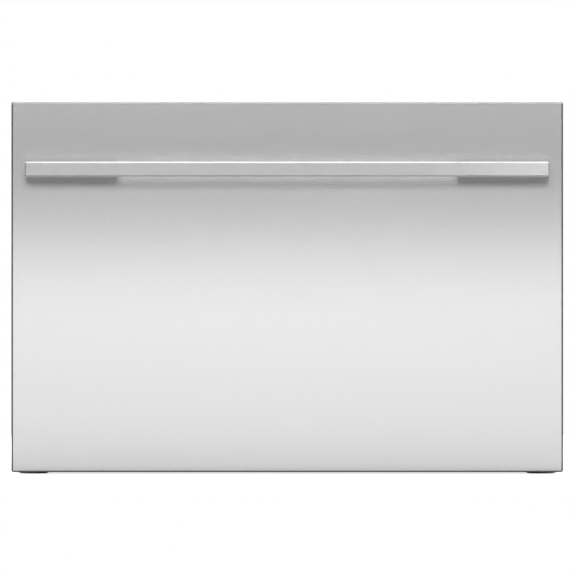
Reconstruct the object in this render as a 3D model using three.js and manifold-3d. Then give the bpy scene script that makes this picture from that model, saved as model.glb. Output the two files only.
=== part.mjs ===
// A drawer dishwasher for a 600 mm kitchen module. A moulded tub rolls out of a folded
// steel chassis on telescopic runners, behind a stainless front panel with a bar handle.
// A lid hangs in the chassis and drops onto the tub's rim. The tub holds the racks, the
// spray arm, the filters and the dispenser, and carries the pump underneath.
//
// Millimetres. +X is right, +Y is to the rear, +Z is up. While the pieces are made, the
// floor is z 0 and the chassis's front edge is y 0.
import * as THREE from "three";
import { mergeVertices } from "three/addons/utils/BufferGeometryUtils.js";
import Module from "manifold-3d";

const wasm = await Module();
wasm.setup();

// ------------------------------------------------------------------ clearances
const seatGap = 0.3; // between pieces fastened face to face
const runGap = 0.5; // between pieces that slide or turn past each other
const openGap = 3; // between parts that pass each other as the drawer moves
const past = 1; // how far a cutter runs past the face it opens
const lap = 1; // how far two shapes of one piece run into each other

// ------------------------------------------------------ front panel and handle
const panelWidth = 596;
const panelHeight = 400;
const panelDepth = 18;
const panelSkin = 1.2;
const panelBend = 1.8; // bend radius of the skin's four edges
const panelCorner = 2.3; // radius of the panel's corners, seen from the front
const panelLift = 2; // floor to the panel's lower edge
const panelGap = 2; // panel's back to the chassis's front edge
const panelOverlap = 3; // panel beyond the chassis, each side
const panelRise = 2.5; // panel above the chassis's top

const handleInset = 14.5; // panel's end to the bar's end
const handleHeight = 16;
const barDepth = 10;
const barEdge = 0.8; // rounding of the bar's long edges
const handleStandoff = 30; // panel to the back of the bar
const handleDrop = 65; // panel's top to the bar's top
const postWidth = 100;

// ---------------------------------------------------------------------- chassis
const chassisDepth = 548;
const chassisSheet = 1.2;
const frontFlange = 7;
const topFlange = 20;
const bottomFlange = 40;
const trayUpstand = 12;
const browHeight = 15;
const browDepth = 9;
const browLip = 5; // thick lower part of the brow's trim
const browWeb = 3;
const footHeight = 8;
const footRadius = 16;
const footStem = 5; // radius
const footMargin = 4; // foot's edge to the chassis's side
const footInset = 45; // foot's axis from the chassis's front and back
const tabWidth = 40;
const tabHeight = 26;
const tabUp = 300; // fixing tab's middle above the floor
const tabHole = 2.3; // radius
const ventCount = 5;
const ventPitch = 30;
const ventWidth = 6;
const ventHeight = 60;
const ventUp = 220; // vents' middle above the floor

// ---------------------------------------------------------------------- runners
const runnerFront = 8; // chassis's front edge to the runner's front end
const runnerRear = 40; // runner's rear end to the chassis's back
const runnerUp = 150; // runner's middle above the floor
const runnerHeight = 45;
const runnerThickness = 12.7;
const runnerSheet = 1.2;
const runnerFlange = 8.6; // depth of a member's flanges
const ballDiameter = 4.2;
const ballPlay = 0.35;
const ballCount = 2; // in each row of a cage
const ballInset = 12; // end ball to the cage's end
const cageLength = 150;
const cageStrip = 1; // thickness of the strip that reaches to the balls

// -------------------------------------------------------------------------- tub
const frontBay = 44; // chassis's front edge to the tub's front wall
const rearBay = 23; // tub's back wall to the chassis's back
const tubSideRoom = 7.5; // runner to the tub's side wall
const tubWall = 3;
const tubCorner = 45;
const rimWidth = 10;
const rimThickness = 4;
const padHeight = 26;
const sumpRadius = 68;
const sumpOffset = 28; // sump's axis behind the spray arm's

// -------------------------------------------------------------------------- lid
const lidHeadroom = 9; // raised lid's ribs to the roof's flange
const lidLift = 12; // raised seal above the rim
const lidSkin = 3;
const lidSkirt = 12;
const lidOverlap = 4; // lid beyond the tub's walls
const ribHeight = 7;
const ribThickness = 4;
const ribInset = 30; // rib's end from the tub's wall
const crossRibs = 3;
const lengthRibs = 4;
const sealHeight = 4;
const sealWidth = 7;
const lugWidth = 24;
const lugThickness = 6;
const lugRise = 1; // lug's underside above the skirt's
const actuatorDepth = 80;
const actuatorWall = 2;
const liftMotorLength = 26;
const liftMotorHeight = 22;

// ------------------------------------------------------------- drawer front bay
const frameWall = 3;
const frameLift = 40; // floor to the frame's underside
const frameRibs = 6;
const frameRibInset = 70; // end rib from the frame's side
const frameRibDepth = 12;
const frameRibHeight = 60;
const ledgeDepth = 6;
const deckThickness = 3;
const displayWidth = 96;
const displayDepth = 14;
const displayLip = 2;
const keysPerSide = 2;
const keyWidth = 20;
const keyDepth = 10;
const keyCorner = 2;
const keyPitch = 34;
const keyMargin = 25; // display's edge to the first key's middle
const keyProud = 1.2;
const keyTravel = 1;
const keyLip = 2;
const keyFlange = 1.2; // thickness of the lip
const boardThickness = 1.6;
const boardMargin = 20; // outer key's middle to the board's end
const controllerWidth = 190;
const controllerHeight = 90;
const controllerFront = 15; // from the frame's front face
const socketCount = 4;
const socketPitch = 42;
const socketWidth = 22;
const socketDepth = 12;
const socketHeight = 8;

// -------------------------------------------------------------------- dispenser
const dispenserWidth = 156;
const dispenserHeight = 72;
const dispenserTop = 31; // below the tub's rim
const dispenserProud = 12; // into the tub
const dispenserDeep = 20; // forward of the tub's front wall
const dispenserLip = 8; // body's edge beyond the wall's cut-out
const cupWidth = 60;
const cupHeight = 52;
const cupDeep = 30;
const flapThickness = 2.6;
const flapMargin = 3; // flap beyond the detergent cup
const catchWidth = 16;
const catchHeight = 4;
const catchProud = 3;
const earThickness = 3;
const knuckleRadius = 2.2;
const hingePin = 1.2; // radius
const rinseRadius = 17;
const rinseMargin = 14; // cap's edge to the body's cut-out
const rinseThickness = 4;
const plugRadius = 13.5;
const plugLength = 8;
const fillerDeep = 14;
const gripHeight = 6;
const gripWidth = 5;
const gripInset = 3; // from the cap's edge

// ------------------------------------------------------- pump, filters and spray
const pumpCupWall = 8;
const pumpWall = 3;
const pumpFlange = 12;
const spigotRadius = 12;
const spigotWall = 3;
const spigotLength = 34;
const rotorRadius = 44;
const rotorHeight = 10;
const rotorNeck = 2; // shaft between the rotor and the impeller
const impellerRadius = 36;
const impellerPlate = 2;
const impellerHeight = 7;
const vaneCount = 6;
const vaneThickness = 2;
const vaneInset = 6; // vane's tip from the impeller's edge
const vaneOffset = 4; // vane's middle from a line through the axis
const shaftRadius = 5;
const bearingWall = 4;
const bearingHeight = 4;
const pumpHeadroom = 4.5; // rotor to the drain filter's cup
const filterRadius = 108;
const filterThickness = 3;
const filterRim = 7; // height
const slotCount = 15;
const slotLength = 34;
const slotWidth = 3;
const slotMiddle = 78; // from the spray arm's axis
const slotGap = 70; // degrees left clear beside the drain filter
const drainOffset = 64; // drain filter's axis behind the spray arm's
const drainRadius = 24;
const drainWall = 2.5;
const drainDeep = 21;
const drainLip = 4;
const drainLipHeight = 2.7;
const drainBar = 5;
const drainBarHeight = 10;
const bossRadius = 11;
const collarWall = 6;
const sprayTipGap = 23; // spray arm's tip to the tub's nearest wall
const sprayUp = 17; // filter plate to the spray arm's underside
const sprayThickness = 14;
const sprayHub = 30; // radius
const bladeThickness = 11;
const bladeRoot = 18; // half width
const bladeTip = 20; // half width
const bladeSweep = 10;
const sprayDome = 4; // height
const domeSlope = 10;
const sprayTurn = 20; // degrees
const jetCount = 3; // on each blade
const jetFirst = 56; // from the axis
const jetLast = 28; // from the tip
const jetRadius = 4;
const jetTop = 3; // radius at the jet's top
const jetHeight = 3;

// ------------------------------------------------------------------------ racks
const rackGap = 19; // tub's wall to the rack
const rackEndGap = 13; // tub's front and back walls to the rack
const rackLift = 46; // tub's floor to the rack's lower wires
const rackDrop = 33.8; // dispenser's lower edge to the rack's rail
const rackCorner = 24;
const wireRadius = 2;
const railWire = 2.6; // radius
const wireBite = 0.6; // how far crossed wires are welded into each other
const wireInset = 2; // end wire from the rail's corner
const legWire = 3; // radius
const lengthWires = 9; // front to back
const crossWires = 7; // side to side
const tineWireCount = 2; // lengthwise wires from one tine row to the next
const tineRise = 9.1; // folding tines' tips above the rack's rail
const tineRadius = 1.7;
const tineCount = 11;
const tineEnd = 50; // rack's end to the first tine
const axleEnd = 6; // axle beyond the end tines
const clipWidth = 7;
const clipLength = 8;
const clipWall = 2;

const basketWidth = 84;
const basketHeight = 118;
const basketWall = 2.4;
const basketCells = 3;
const basketSide = 14; // rack's side to the basket
const basketFront = 16; // rack's front to the basket
const windowRows = 2;
const windowHeight = 34;
const windowInset = 32; // basket's floor and top to a window's middle
const windowWidth = 24;
const windowParts = [0.25, 0.75]; // windows' places along a cell or an end
const spineDrop = 2; // below the basket's top
const spineHeight = 51;
const hoopLength = 96;
const hoopBar = 8;
const hoopWidth = 4.8;
const hoopRise = 26;
const hoopFoot = 20;

const shelfWidth = 92;
const shelfThickness = 3.6;
const shelfBar = 6;
const slatWidth = 4.2;
const shelfSlats = 5;
const shelfGap = 14; // between shelves, and from the rack's ends
const shelfEnd = 2; // frame's end from the axle's
const shelfAxle = 2; // radius
const shelfInset = 4; // axle from the rack's side
const shelfRise = 8; // rack's rail to the shelf's axle
const shelfStop = 6; // upturned edge
const stopThickness = 2;
const hingeWidth = 12;
const hingeInset = 40; // hinge arm from the shelf's end
const shelfClipInset = 20;

// --------------------------------------------------------------------- services
const serviceInset = 62; // chassis's side to the valve's and the drain's axes
const serviceUp = 46; // above the floor
const portRadius = 12;
const portLength = 13; // beyond the chassis's back
const valveBore = 5; // radius
const valveBoreDeep = 24;
const valveSize = 38;
const valveRise = 13; // body above the port's axis
const coilRadius = 13;
const coilLength = 14;
const drainPortWall = 3;
const drainStandWidth = 34;
const drainStandDepth = 28;
const drainBack = 22; // stand's middle from the back
const glandRadius = 9;
const glandBore = 4.5; // radius
const glandLength = 9;
const glandDeep = 14;
const terminalWidth = 70;
const terminalHeight = 50;
const terminalDepth = 30;
const floatRadius = 18;
const floatHeight = 14;
const floatStem = 3; // radius
const floatStemLength = 20; // above the disc
const floatLift = 6; // before it meets its bracket
const floatInset = 50; // behind the tub's front wall
const bracketWidth = 16;

// ------------------------------------------------------------- worked-out places
const low = 0;
const panelBack = -panelGap;
const panelFront = panelBack - panelDepth;
const panelBottom = panelLift;
const panelTop = panelBottom + panelHeight;
const barBack = panelFront - handleStandoff;
const barFront = barBack - barDepth;
const barTop = panelTop - handleDrop;
const barLength = panelWidth - 2 * handleInset;
const barBottom = barTop - handleHeight;

const chassisHalf = panelWidth / 2 - panelOverlap;
const chassisBottom = footHeight;
const roofTop = panelTop - panelRise;
const sideTop = roofTop - chassisSheet - seatGap;
const flangeUnder = sideTop - chassisSheet;
const sideInner = chassisHalf - chassisSheet;
const backInner = chassisDepth - chassisSheet;
const trayBottom = chassisBottom + chassisSheet + seatGap;
const trayTop = trayBottom + chassisSheet;
const trayBack = backInner - seatGap - chassisSheet; // inner face of its rear upstand

const runnerOutboard = sideInner - seatGap;
const runnerInboard = runnerOutboard - runnerThickness;
const runnerSpan = [runnerFront, chassisDepth - runnerRear];

const tubHalf = runnerInboard - tubSideRoom;
const tubInner = tubHalf - tubWall;
const tubFront = frontBay;
const tubBack = backInner - rearBay;
const tubMiddle = (tubFront + tubBack) / 2;
const sumpY = tubMiddle + sumpOffset;

const rotorStack =
  bearingHeight + runGap + rotorHeight + rotorNeck + impellerPlate + impellerHeight + runGap;
const drainBelow = drainDeep - filterThickness - seatGap - tubWall; // cup below the tub
const pumpDrop = drainBelow + pumpHeadroom + rotorStack + runGap + pumpWall;
const tubUnder = trayTop + trayUpstand + openGap + pumpDrop;
const tubFloor = tubUnder + tubWall;
const filterTop = tubFloor + seatGap + filterThickness;
const sprayUnder = filterTop + sprayUp;
const sprayRadius = Math.min(tubInner, (tubBack - tubFront) / 2 - tubWall) - sprayTipGap;

const lidRibTop = flangeUnder - lidHeadroom;
const lidTop = lidRibTop - ribHeight;
const skirtBottom = lidTop - lidSkirt;
const sealTop = skirtBottom - seatGap;
const sealBottom = sealTop - sealHeight;
const rimTop = sealBottom - seatGap - lidLift;

const frameFront = panelBack + seatGap;
const frameHalf = runnerInboard - runGap;
const frameBack = tubFront - rimWidth - seatGap;
const browBottom = flangeUnder - browHeight;
const deckTop = browBottom - openGap;
const deckUnder = deckTop - deckThickness;
const deckMiddle = (frameFront + frameBack) / 2;
const boardTop = deckUnder - seatGap - keyFlange - keyTravel - runGap;
const boardUnder = boardTop - boardThickness;

const dispenserZ = [rimTop - dispenserTop - dispenserHeight, rimTop - dispenserTop];

const rackHalf = tubInner - rackGap;
const rackFront = tubFront + tubWall + rackEndGap;
const rackBack = tubBack - tubWall - rackEndGap;
const rackFloor = tubFloor + rackLift;
const upperWires = rackFloor + 2 * wireRadius - wireBite;
const rackTop = dispenserZ[0] - rackDrop;
const axleUp = upperWires + wireRadius + tineRadius + clipWall;
const tineLength = rackTop + tineRise - axleUp;

// ---------------------------------------------------------------------- helpers
const RIGHT = new THREE.Vector3(1, 0, 0);
const REAR = new THREE.Vector3(0, 1, 0);
const UP = new THREE.Vector3(0, 0, 1);
const wireSides = 4; // facets round a thin wire
const pinSides = 8; // round a pin or a jet
const boreSides = 12; // round a stem or a small bore
const roundSides = 20; // round a disc, a port or a cup
const plateSides = 28; // round the filter plate
const bendReach = 0.9; // how far a wire runs past a bend, as a share of its radius

/** A closed three.js geometry as a solid that can be joined and cut. */
function toSolid(geometry) {
  const bare = new THREE.BufferGeometry();
  const source = geometry.index ? geometry.toNonIndexed() : geometry;
  bare.setAttribute("position", source.getAttribute("position"));
  const merged = mergeVertices(bare, 1e-4);
  return new wasm.Manifold(
    new wasm.Mesh({
      numProp: 3,
      vertProperties: merged.attributes.position.array,
      triVerts: new Uint32Array(merged.index.array),
    }),
  );
}

/** A solid as a three.js geometry with flat faces. */
function toGeometry(solid) {
  const mesh = solid.getMesh();
  const geometry = new THREE.BufferGeometry();
  geometry.setAttribute("position", new THREE.BufferAttribute(mesh.vertProperties, 3));
  geometry.setIndex(new THREE.BufferAttribute(mesh.triVerts, 1));
  const faceted = geometry.toNonIndexed();
  faceted.computeVertexNormals();
  return faceted;
}

/** The two ends of a length about a middle. */
const about = (middle, length) => [middle - length / 2, middle + length / 2];

/** Two ends in rising order. */
const between = (a, b) => [Math.min(a, b), Math.max(a, b)];

/** Evenly spaced places from first to last, both included. */
const spread = (first, last, count) =>
  Array.from({ length: count }, (_, i) => first + ((last - first) * i) / (count - 1));

/** Evenly spaced places about a middle. */
const pitched = (middle, pitch, count) =>
  Array.from({ length: count }, (_, i) => middle + pitch * (i - (count - 1) / 2));

const join = (solids) => solids.reduce((whole, next) => whole.add(next));
const cut = (solid, ...tools) => tools.reduce((left, tool) => left.subtract(tool), solid);

/** A box between two ends on each axis. */
function block(x, y, z) {
  const geometry = new THREE.BoxGeometry(x[1] - x[0], y[1] - y[0], z[1] - z[0]);
  geometry.translate((x[0] + x[1]) / 2, (y[0] + y[1]) / 2, (z[0] + z[1]) / 2);
  return toSolid(geometry);
}

/** A rectangle with round corners. */
function roundedOutline([x0, x1], [y0, y1], radius) {
  const outline = new THREE.Shape();
  outline.absarc(x1 - radius, y0 + radius, radius, -Math.PI / 2, 0);
  outline.absarc(x1 - radius, y1 - radius, radius, 0, Math.PI / 2);
  outline.absarc(x0 + radius, y1 - radius, radius, Math.PI / 2, Math.PI);
  outline.absarc(x0 + radius, y0 + radius, radius, Math.PI, Math.PI * 1.5);
  outline.closePath();
  return outline;
}

/** A closed outline through points. */
const outlineOf = (points) => new THREE.Shape(points.map(([a, b]) => new THREE.Vector2(a, b)));

/** An outline pushed straight out along Z from 0, by a length. */
const pushed = (outline, length, curveSegments) =>
  new THREE.ExtrudeGeometry(outline, { depth: length, bevelEnabled: false, curveSegments });

/** An outline drawn in X and Y, raised along Z between two heights. */
function raised(outline, [z0, z1], curveSegments = 4) {
  const geometry = pushed(outline, z1 - z0, curveSegments);
  geometry.translate(0, 0, z0);
  return toSolid(geometry);
}

/** An outline drawn in X and Z, run along Y between two places. */
function runBack(outline, [y0, y1]) {
  const geometry = pushed(outline, y1 - y0, 2);
  geometry.applyMatrix4(new THREE.Matrix4().makeBasis(RIGHT, UP, REAR.clone().negate()));
  geometry.translate(0, y1, 0);
  return toSolid(geometry);
}

/** An outline drawn in Y and Z, run along X between two places. */
function runAcross(outline, [x0, x1]) {
  const geometry = pushed(outline, x1 - x0, 2);
  geometry.applyMatrix4(new THREE.Matrix4().makeBasis(REAR, UP, RIGHT));
  geometry.translate(x0, 0, 0);
  return toSolid(geometry);
}

/** A straight round bar, or a cone, from one point to another. */
function rod(from, to, radius, sides = wireSides, endRadius = radius) {
  const start = new THREE.Vector3(...from);
  const end = new THREE.Vector3(...to);
  const way = end.clone().sub(start);
  const geometry = new THREE.CylinderGeometry(endRadius, radius, way.length(), sides);
  const turn = new THREE.Quaternion().setFromUnitVectors(REAR, way.clone().normalize());
  geometry.applyQuaternion(turn);
  geometry.translate(...start.add(end).multiplyScalar(0.5).toArray());
  return toSolid(geometry);
}

/** An upright round disc or post. */
const post = (x, y, [z0, z1], radius, sides = roundSides) =>
  rod([x, y, z0], [x, y, z1], radius, sides);

/** A round bar from front to back. */
const bar = (x, [y0, y1], z, radius, sides = roundSides) =>
  rod([x, y0, z], [x, y1, z], radius, sides);

// -------------------------------------------------------------------- materials
const finish = (color, roughness, metalness) =>
  new THREE.MeshStandardMaterial({ color, roughness, metalness });
const stainless = finish("#cfcfce", 0.32, 1);
const galvanised = finish("#a9abac", 0.5, 0.9);
const zincSteel = finish("#c0c2c4", 0.35, 1);
const greyPlastic = finish("#b9bcbe", 0.55, 0);
const darkPlastic = finish("#3a3d40", 0.5, 0);
const glossBlack = finish("#15171a", 0.15, 0);
const keyPlastic = finish("#d4d6d8", 0.35, 0);
const tubPlastic = finish("#d9dbdc", 0.45, 0);
const coatedWire = finish("#c9cdd0", 0.4, 0.1);
const basketPlastic = finish("#8d9296", 0.5, 0);
const rubber = finish("#2b2c2e", 0.8, 0);
const coreBoard = finish("#8e8b84", 0.9, 0);
const circuitGreen = finish("#2d5c40", 0.5, 0);
const whitePlastic = finish("#e6e7e8", 0.4, 0);

// ================================================================ front panel
/** The skin: one stainless sheet folded back along its four edges. */
function frontPanel() {
  const outline = roundedOutline(
    about(0, panelWidth - 2 * panelBend),
    [panelBottom + panelBend, panelTop - panelBend],
    panelCorner - panelBend,
  );
  const geometry = new THREE.ExtrudeGeometry(outline, {
    depth: panelDepth,
    bevelEnabled: true,
    bevelSize: panelBend,
    bevelThickness: panelBend,
    bevelSegments: 3,
    curveSegments: 2,
  });
  geometry.applyMatrix4(new THREE.Matrix4().makeBasis(RIGHT, UP, REAR.clone().negate()));
  geometry.translate(0, panelBack + panelBend, 0);
  const sheet = block(about(0, panelWidth), [panelFront, panelBack], [panelBottom, panelTop]);
  const hollow = block(
    about(0, panelWidth - 2 * panelSkin),
    [panelFront + panelSkin, panelBack + past],
    [panelBottom + panelSkin, panelTop - panelSkin],
  );
  return toSolid(geometry).intersect(sheet).subtract(hollow);
}

/** The board that stiffens and quietens the skin. */
function panelCore() {
  const inset = panelSkin + seatGap;
  return block(
    about(0, panelWidth - 2 * inset),
    [panelFront + inset, panelBack],
    [panelBottom + inset, panelTop - inset],
  );
}

function handleBar() {
  const outline = roundedOutline([barFront, barBack], [barBottom, barTop], barEdge);
  return runAcross(outline, about(0, barLength));
}

/** A broad foot that carries one end of the bar. */
function handlePost() {
  const end = barLength / 2;
  const y = [barBack + seatGap, panelFront - seatGap];
  return block([end - postWidth, end], y, [barBottom, barTop]);
}

// ==================================================================== chassis
const footX = chassisHalf - footRadius - footMargin;
const footPlaces = [footInset, chassisDepth - footInset];

/** The right-hand side: a web folded in at the top, bottom and front. */
function chassisSide() {
  const y = [low, chassisDepth];
  const z = [chassisBottom, sideTop];
  const web = block([sideInner, chassisHalf], y, z);
  const top = block([chassisHalf - topFlange, chassisHalf], y, [flangeUnder, sideTop]);
  const bottom = block([chassisHalf - bottomFlange, chassisHalf], y, [z[0], z[0] + chassisSheet]);
  const front = block([chassisHalf - frontFlange, chassisHalf], [low, chassisSheet], z);
  const runnerWindow = block(
    [chassisHalf - frontFlange - past, sideInner],
    [low - past, runnerFront],
    about(runnerUp, runnerHeight + 2 * openGap),
  );
  const stems = footPlaces.map((at) => post(footX, at, [low, trayTop], footStem + runGap, boreSides));
  return cut(join([web, top, bottom, front]), runnerWindow, ...stems);
}

/** A rubber foot with a stem that clips up through the flange and the tray. */
function foot(y) {
  const pad = post(footX, y, [low, footHeight - seatGap], footRadius);
  const stem = post(footX, y, [footHeight - lap, trayTop], footStem, boreSides);
  return pad.add(stem);
}

const browHalf = chassisHalf - topFlange - seatGap;

/** The top sheet, with a lip turned down at the front. */
function chassisRoof() {
  const sheet = block(
    about(0, 2 * chassisHalf),
    [low, chassisDepth],
    [roofTop - chassisSheet, roofTop],
  );
  const lip = block(about(0, 2 * browHalf), [low, chassisSheet], [browBottom, roofTop]);
  return sheet.add(lip);
}

/** The dark strip behind the roof's front lip, which hides the lid's front edge. */
function browTrim() {
  const y = chassisSheet + seatGap;
  const top = roofTop - chassisSheet - seatGap;
  const outline = outlineOf([
    [y, browBottom],
    [y + browDepth, browBottom],
    [y + browDepth, browBottom + browLip],
    [y + browWeb, browBottom + browLip + browWeb],
    [y + browWeb, top],
    [y, top],
  ]);
  return runAcross(outline, about(0, 2 * browHalf));
}

const floatX = chassisHalf / 2;
const floatY = tubFront + floatInset;
const floatTop = trayTop + seatGap + floatHeight;

/** The bracket on the tray that guides the float's stem and carries its switch. */
function floatBracket() {
  const x = about(floatX, bracketWidth);
  const y = floatY + floatRadius + runGap;
  const arm = floatTop + floatLift;
  const upright = block(x, [y, y + chassisSheet], [trayBottom, arm + chassisSheet]);
  const reach = block(
    x,
    [floatY - bracketWidth / 2, y + chassisSheet],
    [arm, arm + chassisSheet],
  );
  const hole = post(floatX, floatY, [floatTop, arm + 2 * past], floatStem + runGap, boreSides);
  return upright.add(reach).subtract(hole);
}

/** The tray that closes the base and holds a leak until the float trips. */
function baseTray() {
  const half = sideInner - seatGap;
  const y = [chassisSheet + seatGap, trayBack + chassisSheet];
  const full = block(about(0, 2 * half), y, [trayBottom, trayTop + trayUpstand]);
  const inside = block(
    about(0, 2 * (half - chassisSheet)),
    [y[0] + chassisSheet, trayBack],
    [trayTop, trayTop + trayUpstand + past],
  );
  const stems = [-footX, footX].flatMap((x) =>
    footPlaces.map((at) => post(x, at, [low, trayTop + past], footStem + runGap, boreSides)),
  );
  return cut(full, inside, ...stems).add(floatBracket());
}

const valveX = -(chassisHalf - serviceInset);
const drainX = chassisHalf - serviceInset;

/** The back sheet, with vents and a hole for each service. */
function chassisBack() {
  const y = [backInner - past, chassisDepth + past];
  const sheet = block(
    about(0, 2 * (sideInner - seatGap)),
    [backInner, chassisDepth],
    [trayBottom, flangeUnder - seatGap],
  );
  const ports = [valveX, drainX].map((x) => bar(x, y, serviceUp, portRadius + seatGap));
  const lead = bar(0, y, serviceUp, glandRadius + seatGap);
  const vents = pitched(0, ventPitch, ventCount).map((x) =>
    block(about(x, ventWidth), y, about(ventUp, ventHeight)),
  );
  return cut(sheet, ...ports, lead, ...vents);
}

/** A bracket on the right-hand side, stepped out to meet the cabinet and take its screw. */
function fixingTab() {
  const x = [chassisHalf + seatGap, panelWidth / 2];
  const y = chassisDepth - tabWidth;
  const z = about(tabUp, tabHeight);
  const heel = block([x[0], x[0] + chassisSheet], [y - tabWidth, y], z);
  const step = block(x, [y - chassisSheet, y], z);
  const plate = block([x[1] - chassisSheet, x[1]], [y - chassisSheet, chassisDepth], z);
  const middle = chassisDepth - tabWidth / 2;
  const hole = rod(
    [x[0] - past, middle, tabUp],
    [x[1] + past, middle, tabUp],
    tabHole,
    boreSides,
  );
  return join([heel, step, plate]).subtract(hole);
}

// ==================================================================== runners
/** A C section standing on its web, open towards +X or -X. */
function runnerSection(webX, openTowards, height, flange) {
  const inner = webX + openTowards * runnerSheet;
  const tip = webX + openTowards * flange;
  const [z0, z1] = about(runnerUp, height);
  const points = [
    [webX, z0],
    [tip, z0],
    [tip, z0 + runnerSheet],
    [inner, z0 + runnerSheet],
    [inner, z1 - runnerSheet],
    [tip, z1 - runnerSheet],
    [tip, z1],
    [webX, z1],
  ];
  return outlineOf(openTowards < 0 ? points.reverse() : points);
}

const ballRace = ballDiameter + 2 * ballPlay; // room for a ball between two flanges
const middleHeight = runnerHeight - 2 * runnerSheet - 2 * ballRace;
const innerHeight = middleHeight - 2 * runnerSheet - 2 * ballRace;
const webRoom = (runnerThickness - 3 * runnerSheet) / 5; // between webs, for a cage's strip
const middleWeb = runnerOutboard - runnerSheet - webRoom;

const runnerOuter = () =>
  runBack(runnerSection(runnerOutboard, -1, runnerHeight, runnerFlange), runnerSpan);
const runnerMiddle = () =>
  runBack(runnerSection(middleWeb, -1, middleHeight, runnerFlange), runnerSpan);
const runnerInner = () =>
  runBack(runnerSection(runnerInboard, 1, innerHeight, runnerFlange - webRoom), runnerSpan);

/** Balls above and below, held by a strip that runs inside a member of a given height. */
function ballCage(webX, memberHeight) {
  const room = memberHeight - 2 * runnerSheet;
  const y = about((runnerSpan[0] + runnerSpan[1]) / 2, cageLength);
  const strip = [webX - webRoom + ballPlay, webX - ballPlay];
  const ballX = webX - webRoom - runnerFlange / 2;
  const pieces = [block(strip, y, about(runnerUp, room - 2 * ballPlay))];
  for (const z of about(runnerUp, room - ballRace)) {
    pieces.push(block([ballX, strip[1]], y, about(z, cageStrip)));
    for (const at of spread(y[0] + ballInset, y[1] - ballInset, ballCount)) {
      const ball = new THREE.IcosahedronGeometry(ballDiameter / 2, 0);
      ball.translate(ballX, at, z);
      pieces.push(toSolid(ball));
    }
  }
  return join(pieces);
}

const outerBallCage = () => ballCage(runnerOutboard - runnerSheet, runnerHeight);
const innerBallCage = () => ballCage(middleWeb - runnerSheet, middleHeight);

// ======================================================================== tub
const tubOutline = (grow) =>
  roundedOutline(
    about(0, 2 * (tubHalf + grow)),
    [tubFront - grow, tubBack + grow],
    tubCorner + grow,
  );

/** One moulding: walls, floor, a flat rim for the lid's seal, and a pad on each side. */
function tub() {
  const body = raised(tubOutline(0), [tubUnder, rimTop]);
  const rim = raised(tubOutline(rimWidth), [rimTop - rimThickness, rimTop]);
  const inside = raised(tubOutline(-tubWall), [tubFloor, rimTop + past]);
  const pads = [-1, 1].map((side) =>
    block(
      between(side * (tubHalf - lap), side * (runnerInboard - seatGap)),
      [tubFront + tubCorner, tubBack - tubCorner],
      about(runnerUp, padHeight),
    ),
  );
  const sump = post(0, sumpY, [tubUnder - past, tubFloor + past], sumpRadius);
  const dispenserHole = block(
    about(0, dispenserWidth - 2 * dispenserLip),
    [tubFront - past, tubFront + tubWall + past],
    [dispenserZ[0] + dispenserLip, dispenserZ[1] - dispenserLip],
  );
  return cut(join([body, rim, ...pads]), inside, sump, dispenserHole);
}

// ======================================================================== lid
const lidOutline = (grow) =>
  roundedOutline(
    about(0, 2 * (tubHalf + grow)),
    [tubFront - grow, tubBack + grow],
    tubCorner,
  );
const actuatorX = [runnerInboard + seatGap, runnerOutboard];
const lugZ = [skirtBottom + lugRise, skirtBottom + lugRise + lugThickness];
const slotZ = [lugZ[0] - lidLift - runGap, lugZ[1] + runGap];
const lugReach = actuatorX[1] - actuatorWall - openGap;

/** The moulded lid: a plate with a skirt, ribs on top, and a lug each side to hang from. */
function lidShell() {
  const full = raised(lidOutline(lidOverlap), [skirtBottom, lidTop]);
  const hollow = raised(lidOutline(lidOverlap - sealWidth), [skirtBottom - past, lidTop - lidSkin]);
  const lug = block(about(0, 2 * lugReach), about(tubMiddle, lugWidth), lugZ);
  const z = [lidTop - lap, lidRibTop];
  const x = about(0, 2 * (tubHalf - ribInset));
  const y = [tubFront + ribInset, tubBack - ribInset];
  const across = pitched(tubMiddle, (y[1] - y[0]) / crossRibs, crossRibs).map((at) =>
    block(x, about(at, ribThickness), z),
  );
  const along = pitched(0, (x[1] - x[0]) / lengthRibs, lengthRibs).map((at) =>
    block(about(at, ribThickness), y, z),
  );
  return join([full.add(lug).subtract(hollow), ...across, ...along]);
}

/** The seal round the lid's skirt. */
function lidSeal() {
  const ring = raised(lidOutline(lidOverlap), [sealBottom, sealTop]);
  const hole = raised(lidOutline(lidOverlap - sealWidth), [sealBottom - past, sealTop + past]);
  return ring.subtract(hole);
}

/** The right-hand lid lift: a housing on the chassis's side with a slot for the lid's lug. */
function lidActuator() {
  const y = about(tubMiddle, actuatorDepth);
  const top = flangeUnder - seatGap;
  const housing = block(actuatorX, y, [slotZ[0] - actuatorWall, top]);
  const slot = block(
    [actuatorX[0] - past, actuatorX[1] - actuatorWall],
    about(tubMiddle, lugWidth + 2 * runGap),
    slotZ,
  );
  const motor = block(
    [actuatorX[0] + actuatorWall, actuatorX[1] - actuatorWall],
    [y[1] - lap, y[1] + liftMotorLength],
    [top - liftMotorHeight, top],
  );
  return cut(housing, slot).add(motor);
}

// =========================================================== drawer front bay
const keyPlaces = Array.from(
  { length: keysPerSide },
  (_, i) => displayWidth / 2 + keyMargin + keyPitch * i,
)
  .flatMap((x) => [-x, x])
  .sort((a, b) => a - b);
const boardHalf = Math.max(...keyPlaces) + boardMargin;

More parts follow.
